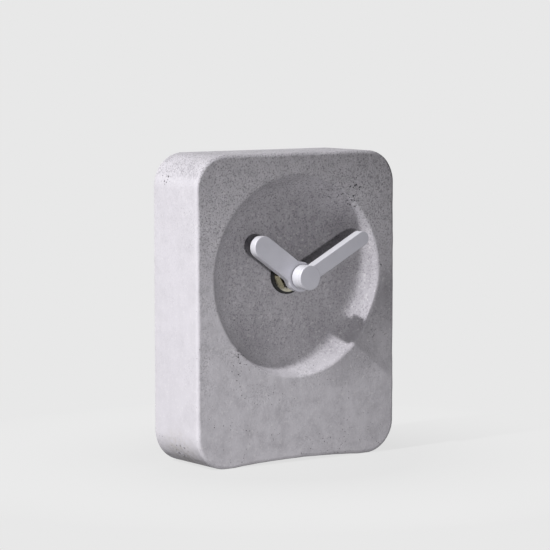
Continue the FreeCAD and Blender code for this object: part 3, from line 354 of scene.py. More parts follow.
def cast_concrete():
    """Fair-faced concrete out of a smooth mould: matt and mineral, with cloudy cement, grey sand
    grains, pale lime specks and open air pores. The real sand is finer than a pixel here, so it
    is drawn about twice as coarse as it is. The skin is closed and pale on the sides and low down,
    and open in the dish and over it. The upper face over the dish is painted greyer towards the
    top and front, and the dish greyer still: painted shade. The pores are painted dark inside,
    as painted shade too."""
    material, tree, shader, place = new_material("cast_concrete")
    axes = add(tree, "SeparateXYZ", {0: place}).outputs
    flat = add(tree, "VectorMath", {0: place, 1: (1.0, 0.0, 1.0)}, operation="MULTIPLY").outputs[0]
    upright = add(tree, "Mapping", {"Vector": place, "Scale": (1.0, 1.0, 0.08)}).outputs["Vector"]
    value = {
        "depth": axes["Y"],
        "height": axes["Z"],
        "across": add(tree, "Math", {0: axes["X"]}, operation="ABSOLUTE").outputs[0],
        "from_hub": add(tree, "VectorMath", {0: flat, 1: (0.0, 0.0, float(HUB[1]))},
                        operation="DISTANCE").outputs["Value"],
    }

    # Noises, by the size of their features
    for name, size, detail, roughness, vector in (
            ("clouds", 34 * MM, 4.0, 0.55, place),
            ("pore_regions", 15 * MM, 2.0, 0.55, place),
            ("open_regions", 11 * MM, 3.0, 0.55, place),
            ("mottle", 6 * MM, 5.0, 0.6, place),
            ("streaks", 2.4 * MM, 3.0, 0.5, upright),
            ("oil", 2.2 * MM, 4.0, 0.55, place),
            ("lime", 1.3 * MM, 2.0, 0.5, place),
            ("sand", 0.7 * MM, 3.0, 0.6, place)):
        value[name] = add(tree, "TexNoise", {"Vector": vector, "Scale": 1 / size, "Detail": detail,
                                             "Roughness": roughness}).outputs["Fac"]

    # Ranges: from the least at the source's start to the most at its end
    for name, source, start, end, least, most in (
            ("upper", "height", 30 * MM, 112 * MM, 0.0, 1.0),
            ("front", "depth", BACK_Y, FLOOR_Y, 0.0, 1.0),
            ("inside", "across", 50.2 * MM, 49 * MM, 0.0, 1.0),
            ("near_hub", "from_hub", 43 * MM, 38 * MM, 0.0, 0.8),
            # Painted shade in the dish: its floor and the foot of its wall
            ("painted_shade_dish", "from_hub", 40 * MM, 31 * MM, 0.0, 0.8),
            ("before_web", "depth", 4 * MM, 1 * MM, 0.0, 1.0),
            ("cloudy", "clouds", 0.42, 0.68, 0.0, 0.4),
            ("mottled", "mottle", 0.42, 0.7, 0.0, 0.5),
            ("streaked", "streaks", 0.45, 0.7, 0.0, 0.3),
            ("sandy", "sand", 0.5, 0.63, 0.0, 0.62),
            ("limy", "lime", 0.6, 0.7, 0.0, 0.4),
            ("oily", "oil", 0.4, 0.62, 0.0, 0.75),
            ("open_spots", "open_regions", 0.42, 0.6, 0.15, 0.8),
            ("open_top", "height", 55 * MM, 96 * MM, 0.0, 1.0),
            ("closed_sides", "across", 50.2 * MM, 49 * MM, 0.2, 1.0),
            ("closed_base", "height", 18 * MM, 55 * MM, 0.3, 1.0),
            ("calm_sides", "across", 50.2 * MM, 49 * MM, 0.4, 1.0),
            ("pore_spots", "pore_regions", 0.42, 0.62, 0.3, 1.0)):
        value[name] = add(tree, "MapRange", {"Value": value[source],
                                             "From Min": start, "From Max": end,
                                             "To Min": least, "To Max": most}).outputs["Result"]

    # Patches: the most in the middle, and nothing past their reach
    for name, patches, most in (("stained", STAINS, 0.6), ("painted_shade_patch", PAINTED_SHADE_PATCHES, 0.6),
                                ("crowded", PORE_PATCHES, 2.1)):
        value[name] = 0.0
        for centre, reach in patches:
            far = add(tree, "VectorMath", {0: place, 1: centre},
                      operation="DISTANCE").outputs["Value"]
            near = add(tree, "MapRange", {"Value": far, "From Min": reach, "From Max": reach / 4,
                                          "To Max": most}).outputs["Result"]
            value[name] = add(tree, "Math", {0: value[name], 1: near},
                              operation="MAXIMUM").outputs[0]

    # Two values multiplied, or the larger of the two
    for name, operation, first, second in (
            # Painted shade: the face over the dish darker towards the top and the front
            ("painted_shade_top", "MULTIPLY", "upper", "front"),
            ("painted_shade_top", "MULTIPLY", "painted_shade_top", "inside"),
            ("dish", "MULTIPLY", "near_hub", "before_web"),
            ("painted_shade_dish", "MULTIPLY", "painted_shade_dish", "before_web"),
            ("cloudy", "MULTIPLY", "cloudy", "calm_sides"),
            ("mottled", "MULTIPLY", "mottled", "calm_sides"),
            ("stain", "MULTIPLY", "stained", "oily"),
            ("open", "MAXIMUM", "open_spots", "open_top"),
            ("open", "MAXIMUM", "open", "dish"),
            ("open", "MULTIPLY", "open", "closed_sides"),
            ("open", "MULTIPLY", "open", "closed_base"),
            ("open_sand", "MULTIPLY", "open", "sandy"),
            ("grain", "MULTIPLY", "open", "sand"),
            ("pores", "MAXIMUM", "pore_spots", "crowded")):
        value[name] = add(tree, "Math", {0: value[first], 1: value[second]},
                          operation=operation).outputs[0]

    # A pore is where a cell's own radius, large in few cells, is more than the way to its middle
    value["pit"] = 0.0
    for size, largest in ((0.8 * MM, 0.32), (1.9 * MM, 0.2)):
        cells = add(tree, "TexVoronoi", {"Vector": place, "Scale": 1 / size}).outputs
        chance = add(tree, "SeparateColor", {"Color": cells["Color"]}).outputs[0]
        rare = add(tree, "Math", {0: chance, 1: 3.0}, operation="POWER").outputs[0]
        widest = add(tree, "Math", {0: value["pores"], 1: largest},
                     operation="MULTIPLY").outputs[0]
        radius = add(tree, "Math", {0: rare, 1: widest}, operation="MULTIPLY").outputs[0]
        within = add(tree, "Math", {0: radius, 1: cells["Distance"]},
                     operation="SUBTRACT").outputs[0]
        deep = add(tree, "MapRange", {"Value": within, "From Max": 0.07,
                                      "To Max": 0.85}).outputs["Result"]
        value["pit"] = add(tree, "Math", {0: value["pit"], 1: deep},
                           operation="MAXIMUM").outputs[0]

    # Each colour is laid over the ones before it
    tone = linear("#C3C0C6")
    for name, colour in (
            # Painted shade: darker towards the top of the face
            ("painted_shade_top", "#BDBAC0"),
            # Painted shade: darker in the dish
            ("painted_shade_dish", "#A8A5AB"),
            # Painted shadow and shade: darker concrete in soft patches in and beside the dish
            ("painted_shade_patch", "#7C797F"),
            ("cloudy", "#C6C3C9"),
            ("mottled", "#9C999F"),
            ("streaked", "#BDBAC0"),
            ("open_sand", "#6A676D"),
            ("limy", "#D3D0D3"),
            ("stain", "#9B9588"),
            # Painted shade: the pits are dark inside, where shade falls in the pores
            ("pit", "#3F3D42")):
        tone = add(tree, "Mix", {0: value[name], 6: tone, 7: linear(colour)},
                   data_type="RGBA").outputs[2]

    # The relief is the sum of all rises, and a pit is a negative one
    relief = 0.0
    for name, rise in (("pit", -0.3 * MM), ("grain", -0.2 * MM), ("lime", 0.05 * MM),
                       ("mottle", 0.12 * MM)):
        part = add(tree, "Math", {0: value[name], 1: rise}, operation="MULTIPLY").outputs[0]
        relief = add(tree, "Math", {0: relief, 1: part}, operation="ADD").outputs[0]
    bump = add(tree, "Bump", {"Height": relief, "Distance": 1.0, "Strength": 1.0})
    rough = add(tree, "MapRange", {"Value": value["sand"], "From Min": 0.3, "From Max": 0.7,
                                   "To Min": 0.82, "To Max": 0.95})
    feed(tree, shader, {"Base Color": tone, "Roughness": rough.outputs["Result"],
                        "Normal": bump.outputs["Normal"], "Specular IOR Level": 0.35})
    return material


block = concrete_block()
dress(block, cast_concrete())
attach(block, "clock_body")
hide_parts("concrete_body")


# Movement case, middle plate and cover
# The case and its cover are injection moulded in black styrene with a fine spark-eroded skin,
# and the plate between them in ivory acetal. The cover clips in behind the wheels.

def moulded(name, body, worn, grain, roughness):
    """Moulded plastic: one colour through, with a slightly paler flow cloud and, where the tool
    was spark eroded, a fine pebbled skin that breaks up its sheen. The pebbles are drawn at about
    three times their real tenth of a millimetre, so that they show."""
    material, tree, shader, place = new_material(name)
    cloud = add(tree, "TexNoise", {"Vector": place, "Scale": 1 / (9 * MM),
                                   "Detail": 3.0}).outputs["Fac"]
    tone = add(tree, "Mix", {0: cloud, 6: linear(body), 7: linear(worn)}, data_type="RGBA")
    pebbles = add(tree, "TexNoise", {"Vector": place, "Scale": 1 / (0.32 * MM),
                                     "Detail": 2.0}).outputs["Fac"]
    sheen = add(tree, "MapRange", {"Value": pebbles, "From Min": 0.3, "From Max": 0.7,
                                   "To Min": roughness - 0.06, "To Max": roughness + 0.08})
    bump = add(tree, "Bump", {"Height": pebbles, "Distance": grain})
    feed(tree, shader, {"Base Color": tone.outputs[2], "Roughness": sheen.outputs["Result"],
                        "Normal": bump.outputs["Normal"]})
    return material


black_styrene = moulded("moulded_black_styrene", "#1B1B1D", "#242427", 0.05 * MM, 0.5)
ivory_acetal = moulded("moulded_ivory_acetal", "#CFCABA", "#DAD6C8", 0.01 * MM, 0.42)
for node in ("movement_case", "movement_cover"):
    dress(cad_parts[node], black_styrene)
dress(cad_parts["middle_plate"], ivory_acetal)


# Circuit board with its chip and crystal
# A strip of brown phenolic laminate. The chip is glued on bare and covered with a drop of black
# epoxy, and the crystal lies beside it in a small drawn can.

def laminate():
    """Paper and resin pressed together: the paper's fibres run as faint long flecks."""
    material, tree, shader, place = new_material("phenolic_laminate")
    fibres = add(tree, "Mapping", {"Vector": place, "Scale": (1.0, 1.0, 0.15)}).outputs["Vector"]
    fleck = add(tree, "TexNoise", {"Vector": fibres, "Scale": 1 / (0.5 * MM),
                                   "Detail": 4.0}).outputs["Fac"]
    tone = add(tree, "Mix", {0: fleck, 6: linear("#8A5A2C"), 7: linear("#A87440")},
               data_type="RGBA")
    bump = add(tree, "Bump", {"Height": fleck, "Distance": 0.02 * MM})
    feed(tree, shader, {"Base Color": tone.outputs[2], "Roughness": 0.45,
                        "Normal": bump.outputs["Normal"]})
    return material


def epoxy():
    """Poured black resin: glossy, with slow dimples where it shrank as it set."""
    material, tree, shader, place = new_material("poured_black_epoxy")
    dimple = add(tree, "TexNoise", {"Vector": place, "Scale": 1 / (1.8 * MM),
                                    "Detail": 1.0}).outputs["Fac"]
    tone = add(tree, "Mix", {0: dimple, 6: linear("#0E0E10"), 7: linear("#1A1A1C")},
               data_type="RGBA")
    bump = add(tree, "Bump", {"Height": dimple, "Distance": 0.1 * MM})
    feed(tree, shader, {"Base Color": tone.outputs[2], "Roughness": 0.15,
                        "Normal": bump.outputs["Normal"]})
    return material


def sheet_metal(name, pale, dark, roughness, along, grain):
    """Bare or plated metal with fine lines from rolling, drawing or turning along one axis."""
    material, tree, shader, place = new_material(name)
    drawn = add(tree, "Mapping", {"Vector": place, "Scale": along}).outputs["Vector"]
    lines = add(tree, "TexNoise", {"Vector": drawn, "Scale": 1 / grain,
                                   "Detail": 3.0}).outputs["Fac"]
    tone = add(tree, "Mix", {0: lines, 6: linear(dark), 7: linear(pale)}, data_type="RGBA")
    rough = add(tree, "MapRange", {"Value": lines, "From Min": 0.3, "From Max": 0.7,
                                   "To Min": roughness - 0.07, "To Max": roughness + 0.07})
    bump = add(tree, "Bump", {"Height": lines, "Distance": 0.01 * MM})
    feed(tree, shader, {"Base Color": tone.outputs[2], "Metallic": 1.0,
                        "Roughness": rough.outputs["Result"], "Normal": bump.outputs["Normal"]})
    return material


dress(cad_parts["circuit_board"], laminate())
dress(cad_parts["chip_cover"], epoxy())
dress(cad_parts["quartz_crystal"],
      sheet_metal("drawn_crystal_can", "#C9CACD", "#B2B3B7", 0.25, (1.0, 1.0, 0.1), 0.4 * MM))


# Stepping motor
# A stamped silicon-steel stator and core, a coil of enamelled copper on a moulded bobbin, and
# a sintered ferrite magnet pressed on the rotor's arbor.

def winding():
    """Enamelled wire wound in close layers. Hair-thin wire is drawn as 0.25 mm turns, and a wave
    of scale one is a tenth of pi long."""
    wire = 0.25 * MM
    material, tree, shader, place = new_material("wound_enamelled_copper")
    turns = add(tree, "TexWave", {"Vector": place, "Scale": math.pi / 10 / wire,
                                  "Distortion": 0.6, "Detail": 1.0},
                bands_direction="X").outputs["Fac"]
    tone = add(tree, "Mix", {0: turns, 6: linear("#6E2F16"), 7: linear("#B5602F")},
               data_type="RGBA")
    bump = add(tree, "Bump", {"Height": turns, "Distance": 0.08 * MM})
    feed(tree, shader, {"Base Color": tone.outputs[2], "Metallic": 0.6, "Roughness": 0.3,
                        "Normal": bump.outputs["Normal"]})
    return material


silicon_steel = sheet_metal("stamped_silicon_steel", "#A3A5A8", "#8C8E92", 0.4,
                            (0.1, 1.0, 1.0), 0.5 * MM)
for node in ("stator", "coil_core"):
    dress(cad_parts[node], silicon_steel)
dress(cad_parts["coil_bobbin"], ivory_acetal)
dress(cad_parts["coil_winding"], winding())
dress(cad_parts["rotor_magnet"],
      moulded("sintered_ferrite", "#2B2B2E", "#37373A", 0.04 * MM, 0.55))


# Wheels
# Moulded in white acetal, which is slightly waxy and lets a little light in. The pinion of the
# minute tube is turned in brass.

def turned_brass():
    """Free-cutting brass off the lathe: bright, with fine rings round its own axis and a little
    tarnish. It is a pale, greyed yellow here, for the photograph shows the nut and washer nearly
    without colour. The rings follow the distance from the hub."""
    material, tree, shader, place = new_material("turned_brass")
    centred = add(tree, "Mapping", {"Vector": place, "Location": (0.0, 0.0, -float(HUB[1])),
                                    "Scale": (1.0, 0.0, 1.0)}).outputs["Vector"]
    far = add(tree, "VectorMath", {0: centred}, operation="LENGTH").outputs["Value"]
    turning = add(tree, "TexNoise", {"W": far, "Scale": 1 / (0.12 * MM), "Detail": 2.0},
                  noise_dimensions="1D").outputs["Fac"]
    stain = add(tree, "TexNoise", {"Vector": place, "Scale": 1 / (1.6 * MM),
                                   "Detail": 4.0}).outputs["Fac"]
    tone = add(tree, "Mix", {0: stain, 6: linear("#BDB9AA"), 7: linear("#A39F91")},
               data_type="RGBA")
    rough = add(tree, "MapRange", {"Value": stain, "From Min": 0.35, "From Max": 0.7,
                                   "To Min": 0.18, "To Max": 0.32})
    bump = add(tree, "Bump", {"Height": turning, "Distance": 0.012 * MM})
    feed(tree, shader, {"Base Color": tone.outputs[2], "Metallic": 1.0,
                        "Roughness": rough.outputs["Result"], "Normal": bump.outputs["Normal"]})
    return material


white_acetal = moulded("moulded_white_acetal", "#E2E2DC", "#EDEDE8", 0.01 * MM, 0.35)
brass = turned_brass()
for node in ("rotor_pinion", "fifth_wheel", "second_wheel", "third_wheel", "minute_drive_wheel",
             "reduction_wheel", "hour_wheel"):
    dress(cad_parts[node], white_acetal)
dress(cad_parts["cannon_pinion"], brass)


# Contacts and cell
# Two strips of nickel-plated spring steel press on the ends of a plain-sleeved AA cell. The
# sleeve is shrunk on and curls over the can's edges, and the can shows at both ends.

cell_low, cell_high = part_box("battery")
CELL_RADIUS = (cell_high.z - cell_low.z) / 2
CELL_LINE = Vector((0, (cell_low.y + cell_high.y) / 2, (cell_low.z + cell_high.z) / 2))
NUB_LENGTH = 1.3 * MM
NUB_RADIUS = 2.6 * MM
NUB_ROUND = 0.35 * MM
SLEEVE_THICKNESS = 0.12 * MM
SLEEVE_CURL = 0.9 * MM
SLEEVE_INSET = 0.02 * MM
CELL_EDGE = 0.6 * MM
CAN_GAP = 0.04 * MM
CAN_GROOVE = 0.25 * MM
CAN_MIDDLE = 0.5 * MM
AROUND_CELL = 96


def revolved(profile, around, line):
    """Rings from a profile of (place along X, radius) pairs, turned about the X axis of a line."""
    along, radius = profile.T
    angle = 2 * math.pi * np.arange(around) / around
    return np.stack([np.broadcast_to(along[:, None], (len(along), around)),
                     line.y + radius[:, None] * np.cos(angle),
                     line.z + radius[:, None] * np.sin(angle)], -1)


def quarter(x, radius, size, start, end, count=6):
    """Points on a small round: its centre plus its size times cosine along X and sine outwards."""
    turn = np.radians(np.linspace(start, end, count))
    return np.stack([x + size * np.cos(turn), radius + size * np.sin(turn)], 1)


def cell_sleeve():
    """A thin tube turned about the cell's line: outwards over its left curl, along the outside,
    in over the right curl, and back the same way one thickness further in."""
    left, right = cell_low.x + SLEEVE_INSET, cell_high.x - NUB_LENGTH - SLEEVE_INSET
    first, last = left + CELL_EDGE, right - CELL_EDGE
    edge = CELL_RADIUS - CELL_EDGE
    curl = edge - SLEEVE_CURL
    thin = CELL_EDGE - SLEEVE_THICKNESS
    middle = np.linspace(first, last, 12)[1:-1]
    profile = np.concatenate([
        [(left, curl)],
        quarter(first, edge, CELL_EDGE, 180, 90),
        np.stack([middle, np.full(len(middle), CELL_RADIUS)], 1),
        quarter(last, edge, CELL_EDGE, 90, 0),
        [(right, curl), (right - SLEEVE_THICKNESS, curl)],
        quarter(last, edge, thin, 0, 90),
        np.stack([middle[::-1], np.full(len(middle), CELL_RADIUS - SLEEVE_THICKNESS)], 1),
        quarter(first, edge, thin, 90, 180),
        [(left + SLEEVE_THICKNESS, curl)],
    ])
    return closed_mesh("cell_sleeve", revolved(profile, AROUND_CELL, CELL_LINE))


def cell_can():
    """The steel can inside: flat negative end with a shallow groove, shoulder and raised nub."""
    left = cell_low.x + SLEEVE_THICKNESS + CAN_GAP
    right = cell_high.x - NUB_LENGTH - SLEEVE_THICKNESS - CAN_GAP
    edge = CELL_RADIUS - SLEEVE_THICKNESS - CAN_GAP - CELL_EDGE
    profile = np.concatenate([
        [(cell_low.x, CAN_MIDDLE), (cell_low.x, 4.4 * MM)],
        [(cell_low.x + CAN_GROOVE, 4.6 * MM), (cell_low.x + CAN_GROOVE, 5.0 * MM)],
        [(left, 5.2 * MM)],
        quarter(left + CELL_EDGE, edge, CELL_EDGE, 180, 90),
        quarter(right - CELL_EDGE, edge, CELL_EDGE, 90, 0),
        [(right, 4.9 * MM), (right - CAN_GROOVE, 4.7 * MM)],
        [(right - CAN_GROOVE, NUB_RADIUS + 0.5 * MM), (right, NUB_RADIUS + 0.1 * MM)],
        quarter(cell_high.x - NUB_ROUND, NUB_RADIUS - NUB_ROUND, NUB_ROUND, 90, 0),
        [(cell_high.x, CAN_MIDDLE)],
    ])
    return closed_mesh("cell_can", revolved(profile, AROUND_CELL, CELL_LINE), poles=True)


def shrink_sleeve():
    """Plain shrink film on the can: smooth and glossy, with fine pull marks along the cell."""
    material, tree, shader, place = new_material("shrink_sleeve_film")
    pulled = add(tree, "Mapping", {"Vector": place, "Scale": (0.05, 1.0, 1.0)}).outputs["Vector"]
    marks = add(tree, "TexNoise", {"Vector": pulled, "Scale": 1 / (0.7 * MM),
                                   "Detail": 3.0}).outputs["Fac"]
    tone = add(tree, "Mix", {0: marks, 6: linear("#2E3236"), 7: linear("#3B4046")},
               data_type="RGBA")
    bump = add(tree, "Bump", {"Height": marks, "Distance": 0.02 * MM})
    feed(tree, shader, {"Base Color": tone.outputs[2], "Roughness": 0.22,
                        "Normal": bump.outputs["Normal"]})
    return material


nickel = sheet_metal("nickel_plated_spring_steel", "#C4C2BC", "#ABA9A4", 0.28,
                     (1.0, 0.1, 1.0), 0.4 * MM)
for node in ("positive_contact", "negative_contact"):
    dress(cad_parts[node], nickel)
sleeve = cell_sleeve()
dress(sleeve, shrink_sleeve())
can = cell_can()
dress(can, sheet_metal("nickel_plated_can", "#C9C8C5", "#B0AFAC", 0.3, (0.1, 1.0, 1.0), 0.6 * MM))
for piece, slot in ((sleeve, "cell_sleeve"), (can, "plated_spring_steel")):
    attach(piece, "battery")
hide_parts("battery")


# Setting knob
# Moulded black plastic with finger grips. Its shaft runs through the movement to the pinion
# that turns the minute tube.

dress(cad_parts["setting_knob"],
      moulded("moulded_black_knob", "#202022", "#2B2B2E", 0.03 * MM, 0.38))


# Bush, washers and nut
# The movement's brass bush comes forward through the block, and a hexagon nut pulls it tight
# over a brass washer and a black rubber one that grips the dish's floor.

def rubber():
    """Cut from sheet rubber: matt black, with a bloom of pale dust in its pores."""
    material, tree, shader, place = new_material("sheet_rubber")
    bloom = add(tree, "TexNoise", {"Vector": place, "Scale": 1 / (0.6 * MM),
                                   "Detail": 4.0}).outputs["Fac"]
    share = add(tree, "MapRange", {"Value": bloom, "From Min": 0.5,
                                   "From Max": 0.75}).outputs["Result"]
    tone = add(tree, "Mix", {0: share, 6: linear("#141415"), 7: linear("#2C2B2B")},
               data_type="RGBA")
    bump = add(tree, "Bump", {"Height": bloom, "Distance": 0.05 * MM})
    feed(tree, shader, {"Base Color": tone.outputs[2], "Roughness": 0.75,
                        "Normal": bump.outputs["Normal"]})
    return material


dress(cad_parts["rubber_washer"], rubber())
for node in ("brass_washer", "hex_nut"):
    dress(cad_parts[node], brass)

bush_low, bush_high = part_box("threaded_bush")
BUSH_RADIUS = bush_high.x
BUSH_BORE = 2.71 * MM
THREAD_PITCH = 0.75 * MM
THREAD_DEPTH = 0.3 * MM
THREAD_RUN_OUT = 0.3 * MM


def threaded_bush():
    """The radius falls from its full size by the thread's depth and back once for each pitch
    along Y, a pitch that moves on with the angle, as a screw's does."""
    around = 72
    angle = 2 * math.pi * np.arange(around) / around
    y = np.arange(bush_low.y, bush_high.y, THREAD_PITCH / 8)
    y = np.append(y, bush_high.y)
    turn = (y[:, None] / THREAD_PITCH + angle / (2 * math.pi)) % 1
    run_out = np.clip((y - bush_low.y) / THREAD_RUN_OUT, 0, 1)[:, None]
    radius = BUSH_RADIUS - THREAD_DEPTH * (1 - np.abs(2 * turn - 1) * run_out)
    bore_y = np.linspace(bush_high.y, bush_low.y, 6)
    radii = np.concatenate([radius, np.full((len(bore_y), around), BUSH_BORE)])
    flat = HUB + radii[..., None] * np.stack([np.cos(angle), np.sin(angle)], 1)
    return closed_mesh("threaded_bush_cut", rings(flat, np.concatenate([y, bore_y])))


bush = threaded_bush()
dress(bush, brass)
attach(bush, "clock_body")
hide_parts("threaded_bush")


# Hour hand and its collet
# A thick bar cut from aluminium plate, bead blasted and matt anodised, with its edges just
# broken. A turned brass collet behind it grips the hour tube.

HAND_EDGE = 0.25 * MM
HAND_SPACING = 0.35 * MM
hour_low, hour_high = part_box("hour_hand")
HOUR_ANGLE = 305.18


def hand_outline(length, half_width, hub_radius, throat):
    """A hand that points up from 0, 0, anticlockwise from the lowest point of its hub: the hub's
    arc, the hollow throat that touches hub and bar, the straight side, the round tip, and the
    same mirrored."""
    rise = math.sqrt((hub_radius + throat) ** 2 - (half_width + throat) ** 2)
    lean = math.degrees(math.atan2(rise, half_width + throat))
    half = [arc((0, 0), hub_radius, -90, lean, HAND_SPACING),
            arc((half_width + throat, rise), throat, 180 + lean, 180, HAND_SPACING / 2,
                hollow=True),
            straight((half_width, rise), (half_width, length - half_width), (1, 0), HAND_SPACING),
            arc((0, length - half_width), half_width, 0, 90, HAND_SPACING)]
    points, out = joined(*half)
    top = np.array([[0, length]]), np.array([[0.0, 1.0]])
    mirror = np.array([-1, 1])
    return joined((points, out), top, (points[:0:-1] * mirror, out[:0:-1] * mirror))


def hand(name, length, half_width, hub_radius, throat, bore, angle, front, back):
    """One closed grid: over the face, round the broken edge, down the side, round the back edge,
    over the back and forward through the bore. The hand is turned clockwise by its angle."""
    points, out = hand_outline(length, half_width, hub_radius, throat)
    turn = math.radians(angle)
    spin = np.array([[math.cos(turn), -math.sin(turn)], [math.sin(turn), math.cos(turn)]])
    outline = HUB + points @ spin
    out = out @ spin
    way = outline - HUB
    hole = HUB + way / np.linalg.norm(way, axis=1)[:, None] * bore
    rounding = np.linspace(0, math.pi / 2, 6)
    inset = outline - out * (HAND_EDGE + SUPPORT)
    edge = outline - out * HAND_EDGE * (1 - np.sin(rounding))[:, None, None]
    side = np.linspace(front + HAND_EDGE, back - HAND_EDGE, 6)[1:-1]
    face = between(hole, inset, np.linspace(0, 1, 8))
    grid = np.concatenate([
        rings(face, np.full(len(face), front)),
        rings(edge, front + HAND_EDGE * (1 - np.cos(rounding))),
        rings(np.repeat(outline[None], len(side), 0), side),
        rings(edge[::-1], back - HAND_EDGE * (1 - np.cos(rounding[::-1]))),
        rings(face[::-1], np.full(len(face), back)),
    ])
    return closed_mesh(name, grid)


def mark_highlight_sides(piece):
    """Stores one on the faces that look along the dial, and zero on those that look forwards or
    back. The ones mark where the aluminium gets its painted highlight."""
    mesh = piece.data
    normal = np.empty(3 * len(mesh.polygons))
    mesh.polygons.foreach_get("normal", normal)
    side = (np.abs(normal[1::3]) < 0.5).astype(np.float32)
    mesh.attributes.new("painted_highlight_side", "FLOAT", "FACE").data.foreach_set("value", side)


def blasted_aluminium():
    """Anodised after bead blasting: even, silky and grey, with no direction. The pits of a tenth
    of a millimetre are drawn at three times that, and a faint cloud keeps the faces from being
    one flat tone. The sides are painted nearly white all round: a painted highlight for the
    light that skims them."""
    material, tree, shader, place = new_material("bead_blasted_anodised_aluminium")
    pits = add(tree, "TexNoise", {"Vector": place, "Scale": 1 / (0.3 * MM),
                                  "Detail": 2.0}).outputs["Fac"]
    cloud = add(tree, "TexNoise", {"Vector": place, "Scale": 1 / (5 * MM),
                                   "Detail": 3.0}).outputs["Fac"]
    grey = add(tree, "Mix", {0: cloud, 6: linear("#AFAEB7"), 7: linear("#B9B8C0")},
               data_type="RGBA")
    highlight_share = add(tree, "Attribute", attribute_name="painted_highlight_side").outputs["Fac"]
    # Painted highlight: the sides are nearly white
    tone = add(tree, "Mix", {0: highlight_share, 6: grey.outputs[2], 7: linear("#D3D2D8")}, data_type="RGBA")
    rough = add(tree, "MapRange", {"Value": pits, "From Min": 0.3, "From Max": 0.7,
                                   "To Min": 0.5, "To Max": 0.62})
    bump = add(tree, "Bump", {"Height": pits, "Distance": 0.03 * MM})
    feed(tree, shader, {"Base Color": tone.outputs[2], "Metallic": 0.3,
                        "Roughness": rough.outputs["Result"], "Normal": bump.outputs["Normal"]})
    return material


aluminium = blasted_aluminium()
hour = hand("hour_hand_bar", length=27.5 * MM, half_width=4.73 * MM, hub_radius=6.3 * MM,
            throat=4 * MM, bore=2.68 * MM, angle=HOUR_ANGLE, front=hour_low.y, back=hour_high.y)
mark_highlight_sides(hour)
dress(hour, aluminium)
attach(hour, "hour_hand_group")
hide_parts("hour_hand")
dress(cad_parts["hour_hand_collet"], brass)


# Minute hand and its cap
# The narrower bar has a hub as wide as the screwed cap in front of it, both in the same
# blasted aluminium.

MINUTE_ANGLE = 62.2
minute_low, minute_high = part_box("minute_hand")
minute = hand("minute_hand_bar", length=35.3 * MM, half_width=3.02 * MM, hub_radius=5.2 * MM,
              throat=0.3 * MM, bore=1.78 * MM, angle=MINUTE_ANGLE, front=minute_low.y,
              back=minute_high.y)
mark_highlight_sides(minute)
dress(minute, aluminium)
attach(minute, "minute_hand_group")
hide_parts("minute_hand")

cap_low, cap_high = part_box("minute_hand_cap")
CAP_EDGE = 0.3 * MM
CAP_FOOT = 0.12 * MM
CAP_MIDDLE = 0.3 * MM


def cap():
    """A disc turned about the hub's axis: flat face, round front edge, straight side, and a small
    step at its foot, where it meets the hand."""
    radius = cap_high.x
    angle = 2 * math.pi * np.arange(96) / 96
    way = np.stack([np.cos(angle), np.sin(angle)], 1)
    turn = np.linspace(0, math.pi / 2, 7)
    face = np.linspace(CAP_MIDDLE, radius - CAP_EDGE - SUPPORT, 8)
    radii = np.concatenate([face, radius - CAP_EDGE * (1 - np.sin(turn)),
                            [radius, radius - CAP_FOOT, radius - CAP_FOOT, CAP_MIDDLE]])
    depth = np.concatenate([np.full(len(face), cap_low.y),
                            cap_low.y + CAP_EDGE * (1 - np.cos(turn)),
                            [cap_high.y - 2 * CAP_FOOT, cap_high.y - CAP_FOOT,
                             cap_high.y, cap_high.y]])
    return closed_mesh("screwed_cap", rings(HUB + radii[:, None, None] * way, depth), poles=True)


screwed_cap = cap()
mark_highlight_sides(screwed_cap)
dress(screwed_cap, aluminium)
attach(screwed_cap, "minute_hand_group")
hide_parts("minute_hand_cap")


# Table
# A wide matt sheet, a middle grey to the lamps' own rays. The camera sees it in one even pale
# tone with the backdrop, and only near the clock does it keep the clock's soft shadow.

TABLE_HALF_SIDE = 3.0
SHADOW_REACH = 0.17
SHADOW_SHARE = 0.35
NEAR_GLOW = 1.36
BACKDROP = "#E8E8E8"


def seen_directly(tree):
    """One for rays from the camera, off a sheen or through glass, and zero for the light's own
    rays."""
    path = add(tree, "LightPath")
    ways = add(tree, "Math", {0: path.outputs["Is Camera Ray"], 1: path.outputs["Is Glossy Ray"]},
               operation="MAXIMUM").outputs[0]
    return add(tree, "Math", {0: ways, 1: path.outputs["Is Transmission Ray"]},
               operation="MAXIMUM").outputs[0]


def table():
    """A square whose own shading is mixed with an even glow. To the camera the glow's share is
    one far from the clock and less near it, where it is also brighter to make up for that."""
    half = TABLE_HALF_SIDE
    mesh = bpy.data.meshes.new("table")
    mesh.from_pydata([(-half, -half, 0), (half, -half, 0), (half, half, 0), (-half, half, 0)], [],
                     [(0, 1, 2, 3)])
    piece = bpy.data.objects.new("table", mesh)
    bpy.context.scene.collection.objects.link(piece)
    material, tree, shader, place = new_material("pale_table")
    seen = seen_directly(tree)
    feed(tree, shader, {"Base Color": linear("#7A7A7A"), "Roughness": 1.0,
                        "Specular IOR Level": 0.0})
    far = add(tree, "VectorMath", {0: place}, operation="LENGTH").outputs["Value"]
    fade = {"Value": far, "From Min": SHADOW_REACH / 3, "From Max": SHADOW_REACH, "To Max": 1.0}
    glow = add(tree, "MapRange", {**fade, "To Min": NEAR_GLOW}).outputs["Result"]
    even = add(tree, "Emission", {"Color": linear(BACKDROP), "Strength": glow}).outputs[0]
    hidden = add(tree, "MapRange", {**fade, "To Min": 1 - SHADOW_SHARE}).outputs["Result"]
    share = add(tree, "Math", {0: hidden, 1: seen}, operation="MULTIPLY").outputs[0]
    mixed = add(tree, "MixShader", {0: share, 1: shader.outputs[0], 2: even}).outputs[0]
    feed(tree, tree.nodes["Material Output"], {"Surface": mixed})
    dress(piece, material)
    return piece


table()


